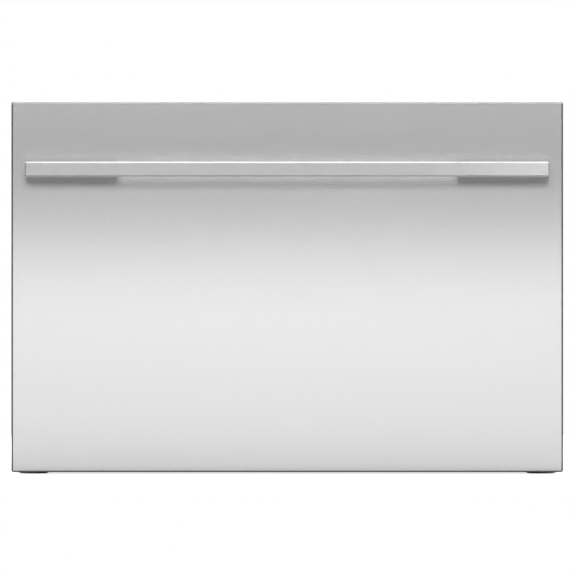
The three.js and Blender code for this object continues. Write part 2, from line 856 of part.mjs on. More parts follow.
/** The moulded frame behind the panel, open to the tub and under the control deck. */
function frontFrame() {
  const z = [frameLift, deckUnder - seatGap];
  const y = [frameFront, tubFront - seatGap];
  const front = block(about(0, 2 * frameHalf), [y[0], y[0] + frameWall], z);
  const floor = block(about(0, 2 * frameHalf), y, [z[0], z[0] + frameWall]);
  const sides = [-1, 1].flatMap((side) => {
    const x = between(side * (frameHalf - frameWall), side * frameHalf);
    const underRim = rimTop - rimThickness - seatGap;
    return [block(x, [y[0], frameBack], z), block(x, y, [z[0], underRim])];
  });
  const ledge = block(
    about(0, 2 * boardHalf),
    [y[0] + lap, y[0] + frameWall + ledgeDepth],
    [boardUnder - seatGap - frameWall, boardUnder - seatGap],
  );
  const end = frameHalf - frameRibInset;
  const ribs = spread(-end, end, frameRibs).map((x) =>
    block(
      about(x, frameWall),
      [y[0] + lap, y[0] + frameRibDepth],
      [z[0] + lap, z[0] + frameRibHeight],
    ),
  );
  return join([front, floor, ...sides, ledge, ...ribs]);
}

/** The cover over the front bay, with an opening for each key and for the display. */
function controlDeck() {
  const cutZ = [deckUnder - past, deckTop + past];
  const plate = block(about(0, 2 * frameHalf), [frameFront, frameBack], [deckUnder, deckTop]);
  const skirt = block(
    about(0, 2 * (frameHalf - frameWall - seatGap)),
    [frameBack - deckThickness, frameBack],
    [rimTop, deckTop],
  );
  const keyHoles = keyPlaces.map((x) => raised(keyOutline(x, seatGap), cutZ, 2));
  const display = block(about(0, displayWidth), about(deckMiddle, displayDepth), cutZ);
  return cut(plate.add(skirt), display, ...keyHoles);
}

const keyOutline = (x, grow) =>
  roundedOutline(
    about(x, keyWidth + 2 * grow),
    about(deckMiddle, keyDepth + 2 * grow),
    keyCorner + grow,
  );

/** A key whose lip, below the deck, keeps it from lifting out. */
function key(x) {
  const z = [deckUnder - seatGap - keyFlange, deckUnder - seatGap];
  const cap = raised(keyOutline(x, 0), [z[0], deckTop + keyProud], 2);
  const lip = block(about(x, keyWidth + 2 * keyLip), about(deckMiddle, keyDepth + 2 * keyLip), z);
  return cap.add(lip);
}

/** The display's lens, with a lip below the deck. */
function displayWindow() {
  const lens = block(
    about(0, displayWidth - 2 * seatGap),
    about(deckMiddle, displayDepth - 2 * seatGap),
    [deckUnder - seatGap - lap, deckTop],
  );
  const lip = block(
    about(0, displayWidth + 2 * displayLip),
    about(deckMiddle, displayDepth + 2 * displayLip),
    [boardTop + seatGap, deckUnder - seatGap],
  );
  return lens.add(lip);
}

/** The circuit board on the frame's ledge, under the keys and the display. */
function controlBoard() {
  const y = [frameFront + frameWall + seatGap, frameBack - deckThickness - seatGap];
  return block(about(0, 2 * boardHalf), y, [boardUnder, boardTop]);
}

/** The sealed box with the main controller, on the frame's floor. */
function controllerBox() {
  const bottom = frameLift + frameWall + seatGap;
  const top = bottom + controllerHeight;
  const y = [frameFront + controllerFront, tubFront - openGap];
  const sockets = pitched(0, socketPitch, socketCount).map((x) =>
    block(
      about(x, socketWidth),
      about((y[0] + y[1]) / 2, socketDepth),
      [top - lap, top + socketHeight],
    ),
  );
  return join([block(about(0, controllerWidth), y, [bottom, top]), ...sockets]);
}

// ================================================================== dispenser
const faceY = tubFront + tubWall + seatGap + dispenserProud;
const cupX = -dispenserWidth / 2 + dispenserLip + flapMargin + cupWidth / 2;
const dispenserMiddle = (dispenserZ[0] + dispenserZ[1]) / 2;
const cupZ = about(dispenserMiddle, cupHeight);
const rinseX = dispenserWidth / 2 - dispenserLip - rinseMargin - rinseRadius;
const pinY = faceY + knuckleRadius + runGap;
const pinZ = cupZ[0] - knuckleRadius;
const flapHalf = cupWidth / 2 + flapMargin;
const pinHalf = flapHalf + runGap + earThickness;

/** A round bar across the dispenser, on the flap's hinge line. */
const hingeBar = (half, radius, sides) =>
  rod([cupX - half, pinY, pinZ], [cupX + half, pinY, pinZ], radius, sides);

/** The body let into the tub's front wall: a detergent cup, and a filler for rinse aid. */
function dispenserBody() {
  const inner = dispenserLip + seatGap;
  const face = block(about(0, dispenserWidth), [tubFront + tubWall + seatGap, faceY], dispenserZ);
  const rear = block(
    about(0, dispenserWidth - 2 * inner),
    [tubFront - dispenserDeep, faceY],
    [dispenserZ[0] + inner, dispenserZ[1] - inner],
  );
  const cup = block(about(cupX, cupWidth), [faceY - cupDeep, faceY + past], cupZ);
  const filler = bar(
    rinseX,
    [faceY - fillerDeep, faceY + past],
    dispenserMiddle,
    plugRadius + runGap,
  );
  const ears = [-1, 1].map((side) =>
    block(
      between(cupX + side * (flapHalf + runGap), cupX + side * pinHalf),
      [faceY - lap, pinY + knuckleRadius],
      about(pinZ, 2 * knuckleRadius),
    ),
  );
  const pinHole = hingeBar(pinHalf + past, hingePin + seatGap, pinSides);
  return cut(join([face, rear, ...ears]), cup, filler, pinHole);
}

/** The detergent flap, with its knuckle and pin moulded on. */
function dispenserFlap() {
  const y = about(pinY, flapThickness);
  const plate = block(about(cupX, 2 * flapHalf), y, [pinZ, cupZ[1] + flapMargin]);
  const lip = block(
    about(cupX, catchWidth),
    [y[0], y[1] + catchProud],
    [cupZ[1] - catchHeight, cupZ[1]],
  );
  const knuckle = hingeBar(flapHalf, knuckleRadius, pinSides);
  return join([plate, knuckle, hingeBar(pinHalf, hingePin, pinSides), lip]);
}

/** The rinse-aid cap: a quarter-turn plug with a bar across it. */
function rinseCap() {
  const y = [faceY + seatGap, faceY + seatGap + rinseThickness];
  const disc = bar(rinseX, y, dispenserMiddle, rinseRadius);
  const plug = bar(rinseX, [y[0] - plugLength, y[0] + lap], dispenserMiddle, plugRadius);
  const grip = block(
    about(rinseX, 2 * (rinseRadius - gripInset)),
    [y[1] - lap, y[1] + gripHeight],
    about(dispenserMiddle, gripWidth),
  );
  return join([disc, plug, grip]);
}

// ===================================================== pump, filters and spray
const pumpBottom = tubUnder - pumpDrop;
const pumpTop = tubUnder - seatGap;
const pumpRadius = sumpRadius + pumpCupWall;

/** The pump's cup, hung from a flange under the tub's floor, with an outlet at the side. */
function pumpHousing() {
  const floor = pumpBottom + pumpWall;
  const cup = post(0, sumpY, [pumpBottom, pumpTop], pumpRadius);
  const flange = post(0, sumpY, [pumpTop - pumpWall, pumpTop], pumpRadius + pumpFlange);
  const inside = post(0, sumpY, [floor, pumpTop + past], sumpRadius);
  const bearing = cut(
    post(0, sumpY, [pumpBottom + lap, floor + bearingHeight], shaftRadius + bearingWall),
    post(0, sumpY, [floor, pumpTop], shaftRadius + runGap),
  );
  const z = floor + spigotRadius;
  const spigot = rod(
    [sumpRadius + lap, sumpY, z],
    [pumpRadius + spigotLength, sumpY, z],
    spigotRadius,
    boreSides,
  );
  const bore = rod(
    [sumpRadius - pumpCupWall, sumpY, z],
    [pumpRadius + spigotLength + past, sumpY, z],
    spigotRadius - spigotWall,
    boreSides,
  );
  return cut(join([cup, flange, spigot]), inside, bore).add(bearing);
}

/** The motor's rotor with the impeller above it, on one shaft. */
function pumpRotor() {
  const bottom = pumpBottom + pumpWall + runGap;
  const magnetZ = bottom + bearingHeight + runGap;
  const plateZ = magnetZ + rotorHeight + rotorNeck;
  const vaneZ = plateZ + impellerPlate;
  const magnet = post(0, sumpY, [magnetZ, magnetZ + rotorHeight], rotorRadius);
  const shaft = post(0, sumpY, [bottom, bottom + rotorStack], shaftRadius, boreSides);
  const plate = post(0, sumpY, [plateZ, vaneZ], impellerRadius);
  const vanes = Array.from({ length: vaneCount }, (_, i) => {
    const vane = new THREE.BoxGeometry(impellerRadius - vaneInset, vaneThickness, impellerHeight);
    vane.translate((impellerRadius - vaneInset) / 2, vaneOffset, vaneZ - lap + impellerHeight / 2);
    vane.rotateZ((i * 2 * Math.PI) / vaneCount);
    vane.translate(0, sumpY, 0);
    return toSolid(vane);
  });
  return join([magnet, shaft, plate, ...vanes]);
}

/** The slotted plate over the sump, with the post that the spray arm turns on. */
function filterPlate() {
  const bottom = filterTop - filterThickness;
  const full = post(0, tubMiddle, [bottom, bottom + filterRim], filterRadius, plateSides);
  const dish = post(
    0,
    tubMiddle,
    [filterTop, bottom + filterRim + past],
    filterRadius - filterThickness,
    plateSides,
  );
  const boss = post(0, tubMiddle, [bottom, sprayUnder + bladeThickness - lap], bossRadius);
  const collar = post(0, tubMiddle, [bottom, sprayUnder - runGap], bossRadius + collarWall);
  const hole = post(
    0,
    tubMiddle + drainOffset,
    [bottom - past, filterTop + past],
    drainRadius + runGap,
  );
  const fan = [90 + slotGap / 2, 450 - slotGap / 2];
  const slots = spread(...fan, slotCount).map((degrees) => {
    const slot = new THREE.BoxGeometry(slotLength, slotWidth, filterThickness + 2 * past);
    slot.translate(slotMiddle, 0, bottom + filterThickness / 2);
    slot.rotateZ(THREE.MathUtils.degToRad(degrees));
    slot.translate(0, tubMiddle, 0);
    return toSolid(slot);
  });
  return cut(join([full.subtract(dish), boss, collar]), hole, ...slots);
}

/** The drain filter: a cup with a lip, and a bar to twist it by. */
function drainFilter() {
  const y = tubMiddle + drainOffset;
  const bottom = filterTop - drainDeep;
  const lipZ = [filterTop + seatGap, filterTop + seatGap + drainLipHeight];
  const cup = post(0, y, [bottom, lipZ[1]], drainRadius);
  const lip = post(0, y, lipZ, drainRadius + drainLip);
  const inside = post(0, y, [bottom + drainWall, lipZ[1] + past], drainRadius - drainWall);
  const grip = block(
    about(0, 2 * drainRadius - drainWall),
    about(y, drainBar),
    about(filterTop, drainBarHeight),
  );
  return cut(cup.add(lip), inside).add(grip);
}

/** One blade of the spray arm, swept a little towards its tip. */
function bladeOutline() {
  const shoulder = sprayRadius - bladeTip;
  const tipPull = sprayRadius + bladeTip;
  const outline = new THREE.Shape();
  outline.moveTo(0, -bladeRoot);
  outline.quadraticCurveTo(shoulder / 2, -bladeTip - bladeSweep, shoulder, -bladeTip + bladeSweep);
  outline.quadraticCurveTo(tipPull, 0, shoulder, bladeTip);
  outline.quadraticCurveTo(shoulder / 2, bladeTip, 0, bladeRoot);
  outline.closePath();
  return outline;
}

/** The spray arm: two blades with jets, on a hub that is bored for the filter plate's post. */
function sprayArm() {
  const z = [sprayUnder, sprayUnder + sprayThickness];
  const bladeZ = [z[0] + lap, z[0] + lap + bladeThickness];
  const blade = raised(bladeOutline(), bladeZ);
  const jets = spread(jetFirst, sprayRadius - jetLast, jetCount).map((x) =>
    rod([x, 0, bladeZ[1] - lap], [x, 0, bladeZ[1] + jetHeight], jetRadius, pinSides, jetTop),
  );
  const arm = join([blade, ...jets]);
  const hub = post(0, 0, z, sprayHub);
  const dome = rod(
    [0, 0, z[1] - lap],
    [0, 0, z[1] + sprayDome],
    sprayHub - sprayDome,
    roundSides,
    sprayHub - sprayDome - domeSlope,
  );
  const bore = post(0, 0, [z[0] - past, z[0] + bladeThickness], bossRadius + runGap);
  return join([arm, arm.rotate([0, 0, 180]), hub, dome]).subtract(bore);
}

// ====================================================================== racks
/** Bars along a run of points, each lapped with the next at a bend. */
function bentWire(points, radius, closed = false) {
  const bars = [];
  const last = points.length - 2;
  for (let i = 0; i <= last; i += 1) {
    const start = new THREE.Vector3(...points[i]);
    const end = new THREE.Vector3(...points[i + 1]);
    const reach = end.clone().sub(start).normalize().multiplyScalar(radius * bendReach);
    if (closed || i > 0) start.sub(reach);
    if (closed || i < last) end.add(reach);
    bars.push(rod(start.toArray(), end.toArray(), radius));
  }
  return join(bars);
}

/** The points of a level rail round the rack, with its corners cut off. */
function railPoints(z, outward) {
  const c = rackCorner;
  const x = rackHalf + outward;
  const y0 = rackFront - outward;
  const y1 = rackBack + outward;
  return [
    [-x + c, y0, z],
    [x - c, y0, z],
    [x, y0 + c, z],
    [x, y1 - c, z],
    [x - c, y1, z],
    [-x + c, y1, z],
    [-x, y1 - c, z],
    [-x, y0 + c, z],
    [-x + c, y0, z],
  ];
}

const wireEnd = rackCorner + wireInset;
const wireX = spread(-rackHalf + wireEnd, rackHalf - wireEnd, lengthWires);
const wireY = spread(rackFront + wireEnd, rackBack - wireEnd, crossWires);
const tinePlaces = spread(rackFront + tineEnd, rackBack - tineEnd, tineCount);
const middleWire = Math.floor(lengthWires / 2);
const foldRows = [middleWire - tineWireCount, middleWire]; // wires whose tines fold
const fixedRows = [middleWire + tineWireCount]; // and those with welded tines
const clipPlaces = [0, Math.floor(tineCount / 2) - 1, tineCount - 2].map(
  (i) => (tinePlaces[i] + tinePlaces[i + 1]) / 2,
);
const shelfLength = (rackBack - rackFront - 3 * shelfGap) / 2;
const shelfX = rackHalf - shelfInset;
const shelfZ = rackTop + shelfRise;
const frontShelf = [rackFront + shelfGap, rackFront + shelfGap + shelfLength];
const rearShelf = [rackBack - shelfGap - shelfLength, rackBack - shelfGap];

/** A block on the rack, bored to hold a wire that turns in it. */
function clip([x, y, z], wire, bottom) {
  const body = block(about(x, clipWidth), about(y, clipLength), [bottom, z + wire + clipWall]);
  return body.subtract(bar(x, about(y, clipLength + 2 * past), z, wire + seatGap, pinSides));
}

const shelfClips = (side, [y0, y1]) =>
  [y0 + shelfClipInset, y1 - shelfClipInset].map((y) =>
    clip([side * shelfX, y, shelfZ], shelfAxle, rackTop),
  );

/** A wire from front to back, turned up at both ends. */
const lengthWire = (x) =>
  bentWire(
    [
      [x, rackFront, rackTop],
      [x, rackFront, upperWires],
      [x, rackBack, upperWires],
      [x, rackBack, rackTop],
    ],
    wireRadius,
  );

/** A wire from side to side, turned up at both ends. */
const crossWire = (y) =>
  bentWire(
    [
      [-rackHalf, y, rackTop],
      [-rackHalf, y, rackFloor],
      [rackHalf, y, rackFloor],
      [rackHalf, y, rackTop],
    ],
    wireRadius,
  );

/** The rack's four legs, which stand on the tub's floor. */
const rackLegs = () =>
  [-rackHalf, rackHalf].flatMap((x) =>
    [wireY[0], wireY[crossWires - 1]].map((y) =>
      rod([x, y, rackFloor], [x, y, tubFloor + seatGap], legWire, pinSides),
    ),
  );

/** The welded rows of tines. */
const fixedTines = () =>
  fixedRows.flatMap((row) =>
    tinePlaces.map((y) => {
      const x = wireX[row];
      return rod([x, y, upperWires], [x, y, upperWires + tineLength], tineRadius);
    }),
  );

/** The clips for the tine rows that fold. */
const tineClips = () =>
  foldRows.flatMap((row) =>
    clipPlaces.map((y) => clip([wireX[row], y, axleUp], tineRadius, upperWires)),
  );

/** The base rack: wires both ways, turned up into walls under a heavier rail. */
function baseRack() {
  const midway = (rackTop + rackFloor) / 2;
  return join([
    ...wireX.map(lengthWire),
    ...wireY.map(crossWire),
    bentWire(railPoints(rackTop, 0), railWire, true),
    bentWire(railPoints(midway, 2 * wireRadius - wireBite), wireRadius, true),
    ...rackLegs(),
    ...fixedTines(),
    ...tineClips(),
    ...shelfClips(-1, frontShelf),
    ...shelfClips(-1, rearShelf),
    ...shelfClips(1, rearShelf),
  ]);
}

/** A row of tines on an axle wire, which turns in the rack's clips. */
function tineRow(row) {
  const x = wireX[row];
  const y = [tinePlaces[0] - axleEnd, tinePlaces[tineCount - 1] + axleEnd];
  const tines = tinePlaces.map((at) =>
    rod([x, at, axleUp], [x, at, axleUp + tineLength], tineRadius),
  );
  return join([bar(x, y, axleUp, tineRadius, wireSides), ...tines]);
}

/** A shelf for cups on the left-hand side, hinged above the rack's rail. */
function cupShelf([y0, y1]) {
  const x0 = -shelfX;
  const z = about(shelfZ, shelfThickness);
  const y = [y0 + shelfEnd, y1 - shelfEnd];
  const inner = x0 + clipWidth / 2 + clipWall;
  const outer = x0 + shelfWidth;
  const rails = [inner, outer - shelfBar].map((x) => block([x, x + shelfBar], y, z));
  const slats = spread(y[0] + slatWidth / 2, y[1] - slatWidth / 2, shelfSlats).map((at) =>
    block([inner, outer], about(at, slatWidth), z),
  );
  const arms = [y0 + hingeInset, y1 - hingeInset].map((at) =>
    block([x0 - shelfAxle, inner + lap], about(at, hingeWidth), z),
  );
  const stop = block([outer - stopThickness, outer], y, [z[0], z[1] + shelfStop]);
  return join([bar(x0, [y0, y1], shelfZ, shelfAxle, pinSides), ...rails, ...slats, ...arms, stop]);
}

const basketX = [rackHalf - basketSide - basketWidth, rackHalf - basketSide];
const basketY = [rackFront + basketFront, rearShelf[0] - shelfGap];
const basketZ = [upperWires + wireRadius + seatGap, upperWires + wireRadius + seatGap + basketHeight];
const basketMiddle = (basketX[0] + basketX[1]) / 2;
const cellLength = (basketY[1] - basketY[0] - basketWall * (basketCells + 1)) / basketCells;
const cellFronts = Array.from(
  { length: basketCells },
  (_, i) => basketY[0] + basketWall + i * (cellLength + basketWall),
);

/** The holes through the basket's walls, two to each cell and two to each end, in rows. */
function basketWindows(row) {
  const z = about(row, windowHeight);
  const sides = cellFronts.flatMap((front) =>
    windowParts.map((part) =>
      block(
        [basketX[0] - past, basketX[1] + past],
        about(front + cellLength * part, windowWidth),
        z,
      ),
    ),
  );
  const ends = basketY.flatMap((wall) =>
    windowParts.map((part) =>
      block(
        about(basketX[0] + basketWidth * part, windowWidth),
        about(wall, 2 * (basketWall + past)),
        z,
      ),
    ),
  );
  return [...sides, ...ends];
}

/** The hoop that the basket is lifted by. */
function basketHoop() {
  const middleY = (basketY[0] + basketY[1]) / 2;
  const z = [basketZ[1] - hoopFoot, basketZ[1] + hoopRise];
  const full = block(about(basketMiddle, hoopWidth), about(middleY, hoopLength), z);
  const opening = block(
    about(basketMiddle, hoopWidth + 2 * past),
    about(middleY, hoopLength - 2 * hoopBar),
    [z[0] - past, z[1] - hoopBar],
  );
  return full.subtract(opening);
}

/** The cutlery basket: windowed walls, dividers, a spine and a hoop to lift it by. */
function cutleryBasket() {
  const cells = cellFronts.map((front) =>
    block(
      [basketX[0] + basketWall, basketX[1] - basketWall],
      [front, front + cellLength],
      [basketZ[0] + basketWall, basketZ[1] + past],
    ),
  );
  const rows = spread(basketZ[0] + windowInset, basketZ[1] - windowInset, windowRows);
  const spine = block(
    about(basketMiddle, basketWall),
    [basketY[0] + lap, basketY[1] - lap],
    [basketZ[1] - spineDrop - spineHeight, basketZ[1] - spineDrop],
  );
  const shell = cut(block(basketX, basketY, basketZ), ...cells, ...rows.flatMap(basketWindows));
  return join([shell, spine, basketHoop()]);
}

// =================================================================== services
const serviceBack = trayBack - seatGap;
const serviceFloor = trayTop + seatGap;
const portEnd = chassisDepth + portLength;

/** The fill valve: a body on the tray, a coil, and a port through the back. */
function inletValve() {
  const front = serviceBack - valveSize;
  const body = block(
    about(valveX, valveSize),
    [front, serviceBack],
    [serviceFloor, serviceUp + valveRise],
  );
  const coil = bar(valveX, [front - coilLength, front + lap], serviceUp, coilRadius);
  const port = bar(valveX, [serviceBack - lap, portEnd], serviceUp, portRadius);
  const bore = bar(valveX, [portEnd - valveBoreDeep, portEnd + past], serviceUp, valveBore, boreSides);
  return join([body, coil, port]).subtract(bore);
}

/** The drain's outlet: a stand on the tray, with a port through the back. */
function drainOutlet() {
  const y = serviceBack - drainBack;
  const port = bar(drainX, [y, portEnd], serviceUp, portRadius);
  const stand = block(
    about(drainX, drainStandWidth),
    about(y, drainStandDepth),
    [serviceFloor, serviceUp + portRadius + drainPortWall],
  );
  const bore = bar(drainX, [y, portEnd + past], serviceUp, portRadius - drainPortWall);
  return join([port, stand]).subtract(bore);
}

/** The mains terminals, in a box at the back whose gland takes the supply lead. */
function terminalBox() {
  const body = block(
    about(0, terminalWidth),
    [serviceBack - terminalDepth, serviceBack],
    [serviceFloor, serviceFloor + terminalHeight],
  );
  const end = chassisDepth + glandLength;
  const gland = bar(0, [serviceBack - lap, end], serviceUp, glandRadius);
  const bore = bar(0, [end - glandDeep, end + past], serviceUp, glandBore, boreSides);
  return body.add(gland).subtract(bore);
}

/** The leak float: a disc that lies on the tray, with a stem up through its bracket. */
function leakFloat() {
  const disc = post(floatX, floatY, [trayTop + seatGap, floatTop], floatRadius);
  const stemTop = floatTop + floatStemLength;
  return disc.add(post(floatX, floatY, [floatTop - lap, stemTop], floatStem, boreSides));
}

// =================================================================== assembly
/** Adds a named piece to a group; a mirrored one is its right-hand twin turned over. */
function add(group, name, solid, material, mirrored = false) {
  const mesh = new THREE.Mesh(toGeometry(solid), material);
  mesh.name = name;
  if (mirrored) mesh.scale.x = -1;
  group.add(mesh);
  return mesh;
}

/** Adds a right-hand piece and its left-hand twin. */
function addPair(group, name, solid, material) {
  add(group, `${name}_right`, solid, material);
  add(group, `${name}_left`, solid, material, true);
}

const chassis = new THREE.Group();
addPair(chassis, "chassis_side", chassisSide(), galvanised);
add(chassis, "chassis_roof", chassisRoof(), galvanised);
add(chassis, "chassis_back", chassisBack(), galvanised);
add(chassis, "base_tray", baseTray(), galvanised);
add(chassis, "brow_trim", browTrim(), darkPlastic);
addPair(chassis, "fixing_tab", fixingTab(), zincSteel);
addPair(chassis, "foot_front", foot(footPlaces[0]), rubber);
addPair(chassis, "foot_rear", foot(footPlaces[1]), rubber);
addPair(chassis, "runner_outer", runnerOuter(), zincSteel);
addPair(chassis, "lid_actuator", lidActuator(), darkPlastic);
add(chassis, "inlet_valve", inletValve(), whitePlastic);
add(chassis, "drain_outlet", drainOutlet(), darkPlastic);
add(chassis, "terminal_box", terminalBox(), darkPlastic);

const lid = new THREE.Group();
add(lid, "lid_shell", lidShell(), greyPlastic);
add(lid, "lid_seal", lidSeal(), rubber);

const runners = new THREE.Group();
addPair(runners, "runner_middle", runnerMiddle(), zincSteel);
addPair(runners, "outer_ball_cage", outerBallCage(), zincSteel);
addPair(runners, "inner_ball_cage", innerBallCage(), zincSteel);

const drawer = new THREE.Group();
add(drawer, "front_panel", frontPanel(), stainless);
add(drawer, "panel_core", panelCore(), coreBoard);
add(drawer, "handle_bar", handleBar(), stainless);
addPair(drawer, "handle_post", handlePost(), stainless);
add(drawer, "front_frame", frontFrame(), greyPlastic);
add(drawer, "control_deck", controlDeck(), glossBlack);
add(drawer, "display_window", displayWindow(), glossBlack);
add(drawer, "control_board", controlBoard(), circuitGreen);
add(drawer, "controller_box", controllerBox(), darkPlastic);
add(drawer, "tub", tub(), tubPlastic);
addPair(drawer, "runner_inner", runnerInner(), zincSteel);
add(drawer, "dispenser_body", dispenserBody(), greyPlastic);
add(drawer, "pump_housing", pumpHousing(), darkPlastic);
add(drawer, "filter_plate", filterPlate(), zincSteel);
add(drawer, "base_rack", baseRack(), coatedWire);
add(drawer, "cutlery_basket", cutleryBasket(), basketPlastic);

// The pieces that move in the chassis and in the drawer.
add(chassis, "leak_float", leakFloat(), whitePlastic);
const keyNames = ["power", "program", "delay", "start"];
keyPlaces.forEach((x, i) => add(drawer, `${keyNames[i]}_key`, key(x), keyPlastic));
add(drawer, "dispenser_flap", dispenserFlap(), greyPlastic);
add(drawer, "rinse_cap", rinseCap(), darkPlastic);
add(drawer, "drain_filter", drainFilter(), greyPlastic);
add(drawer, "pump_rotor", pumpRotor(), whitePlastic);
add(drawer, "tine_row_left", tineRow(foldRows[0]), coatedWire);
add(drawer, "tine_row_middle", tineRow(foldRows[1]), coatedWire);
add(drawer, "cup_shelf_front_left", cupShelf(frontShelf), basketPlastic);
add(drawer, "cup_shelf_rear_left", cupShelf(rearShelf), basketPlastic);
add(drawer, "cup_shelf_rear_right", cupShelf(rearShelf), basketPlastic, true);
const turningArm = add(drawer, "spray_arm", sprayArm(), greyPlastic);
turningArm.position.y = tubMiddle;
turningArm.rotation.z = THREE.MathUtils.degToRad(sprayTurn);

const dishwasher = new THREE.Group();
dishwasher.add(chassis, lid, runners, drawer);

// The part's own frame: the origin is under the middle of its overall box.
dishwasher.position.y = -(barFront + portEnd) / 2;

export default dishwasher;
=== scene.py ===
import math
import bmesh
import bpy
from mathutils import Matrix, Vector


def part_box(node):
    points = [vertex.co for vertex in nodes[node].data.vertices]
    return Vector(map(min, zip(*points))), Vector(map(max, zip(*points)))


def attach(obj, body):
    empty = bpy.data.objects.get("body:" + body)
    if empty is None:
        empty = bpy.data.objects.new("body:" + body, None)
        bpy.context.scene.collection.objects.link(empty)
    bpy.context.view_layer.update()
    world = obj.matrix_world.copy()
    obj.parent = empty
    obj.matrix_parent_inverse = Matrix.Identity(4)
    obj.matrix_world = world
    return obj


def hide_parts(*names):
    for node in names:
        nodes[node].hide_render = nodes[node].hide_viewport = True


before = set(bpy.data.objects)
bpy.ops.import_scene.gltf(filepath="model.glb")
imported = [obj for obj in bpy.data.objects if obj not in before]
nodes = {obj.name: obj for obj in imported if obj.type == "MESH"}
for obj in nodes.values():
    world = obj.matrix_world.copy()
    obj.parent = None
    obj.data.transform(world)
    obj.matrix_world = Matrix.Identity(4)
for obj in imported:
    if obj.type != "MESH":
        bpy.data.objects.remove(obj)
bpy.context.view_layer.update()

# ---------- view, floor and light
# The drawer is seen square on from far off, at the middle of its panel, on a pale floor.
# Gridded strips in front light the panel's lower part and high ones the whole of it, which
# shades it under the handle's posts. A card lies in front, and softer lights reach the rest.
panel_low, panel_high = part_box("front_panel")
view_distance = 16.0
view_width = 0.62106
view_middle = (0.0003, 0.2015)
floor_front = -1.9
floor_back = 4.0
floor_half = 3.2
floor_drop = 0.0004

scene = bpy.context.scene
scene.view_settings.view_transform = "Standard"
lens = bpy.data.cameras.new("eye")
lens.lens = 36.0 * view_distance / view_width
lens.clip_start = 0.5
lens.clip_end = 80.0


def placed(name, data):
    """A new object, put into the scene."""
    thing = bpy.data.objects.new(name, data)
    scene.collection.objects.link(thing)
    return thing


eye = placed("eye", lens)
eye.location = (view_middle[0], panel_low.y - view_distance, view_middle[1])
eye.rotation_euler = (math.radians(90), 0.0, 0.0)
scene.camera = eye


def soft_light(name, place, aim, width, height, power):
    """A flat soft light that the camera doesn't see, turned towards a point."""
    data = bpy.data.lights.new(name, "AREA")
    data.shape = "RECTANGLE"
    data.size = width
    data.size_y = height
    data.energy = power
    light = placed(name, data)
    light.location = place
    light.rotation_euler = (Vector(aim) - Vector(place)).to_track_quat("-Z", "Y").to_euler()
    light.visible_camera = False
    return light


# Each strip's height above the floor and power, and for a high one if it passes the bar.
low_strips = [(0.04, 0.0044), (0.12, 0.0032), (0.20, 0.0062), (0.26, 0.0007)]
high_strips = [(1.1, 5.8, True), (1.1, 4.2, False), (1.4, 12.0, True), (1.4, 14.2, False)]
low_y, high_y = panel_low.y - 1.2, panel_low.y - 3.0
grid_angle = math.radians(14)
bar_strip_x, bar_strip_z = 0.62, 0.329
for count, (height, power) in enumerate(low_strips):
    gridded = soft_light(f"low_strip_{count + 1}", (0.0, low_y, height), (0.0, 0.0, height),
                         1.0, 0.08, power)
    gridded.data.spread = grid_angle
high_lights, past_bar = [], []
for count, (height, power, past) in enumerate(high_strips):
    high_lights.append(soft_light(f"high_strip_{count + 1}", (0.0, high_y, height),
                                  (0.0, 0.0, 0.3), 4.0, 0.3, power))
    if past:
        past_bar.append(high_lights[-1])
bar_strip = soft_light("bar_strip", (bar_strip_x, low_y, bar_strip_z),
                       (bar_strip_x, 0.0, bar_strip_z), 0.8, 0.08, 0.002)
bar_strip.data.spread = grid_angle
soft_light("top_front", (0.0, -1.5, 2.2), (0.0, -0.3, 0.2), 2.4, 0.8, 11.0)
floor_card = soft_light("floor_card", (0.0, -0.8, 0.002), (0.0, -0.8, 1.0), 3.2, 1.0, 4.0)
soft_light("overhead", (0.0, 0.9, 2.6), (0.0, 0.4, 0.0), 3.0, 2.2, 48.0)
soft_light("right_side", (2.8, 0.9, 1.3), (0.0, 0.0, 0.2), 1.8, 1.6, 34.0)
soft_light("left_side", (-2.8, 0.9, 1.3), (0.0, 0.0, 0.2), 1.8, 1.6, 34.0)
soft_light("rear", (0.4, 3.2, 1.7), (0.0, 0.2, 0.2), 2.6, 1.8, 40.0)

world = bpy.data.worlds.new("studio")
world.use_nodes = True
scene.world = world
studio = world.node_tree
seen = studio.nodes.new("ShaderNodeLightPath")
seen_white = studio.nodes.new("ShaderNodeBackground")
seen_white.inputs["Color"].default_value = (1.0, 1.0, 1.0, 1.0)
choose = studio.nodes.new("ShaderNodeMixShader")
room = studio.nodes["Background"]
room.inputs["Color"].default_value = (0.9, 0.95, 1.0, 1.0)
room.inputs["Strength"].default_value = 0.06
studio.links.new(seen.outputs["Is Camera Ray"], choose.inputs[0])
studio.links.new(room.outputs[0], choose.inputs[1])
studio.links.new(seen_white.outputs[0], choose.inputs[2])
studio.links.new(choose.outputs[0], studio.nodes["World Output"].inputs["Surface"])


def shader(name, roughness=0.5, metallic=0.0):
    """A new material with its node tree and its Principled shader."""
    material = bpy.data.materials.new(name)
    material.use_nodes = True
    surface = material.node_tree.nodes["Principled BSDF"]
    surface.inputs["Roughness"].default_value = roughness
    surface.inputs["Metallic"].default_value = metallic
    return material, material.node_tree, surface


def grain(tree, scale, stretch=(1.0, 1.0, 1.0), detail=3.0, kind="ShaderNodeTexNoise"):
    """A pattern fixed to the piece in its own metres, stretched along one way."""
    place = tree.nodes.new("ShaderNodeTexCoord")
    turn = tree.nodes.new("ShaderNodeMapping")
    turn.inputs["Scale"].default_value = stretch
    field = tree.nodes.new(kind)
    field.inputs["Scale"].default_value = scale
    if "Detail" in field.inputs:
        field.inputs["Detail"].default_value = detail
    tree.links.new(place.outputs["Object"], turn.inputs["Vector"])
    tree.links.new(turn.outputs["Vector"], field.inputs["Vector"])
    if kind == "ShaderNodeTexVoronoi":
        return field.outputs["Color"]
    return field.outputs[0]


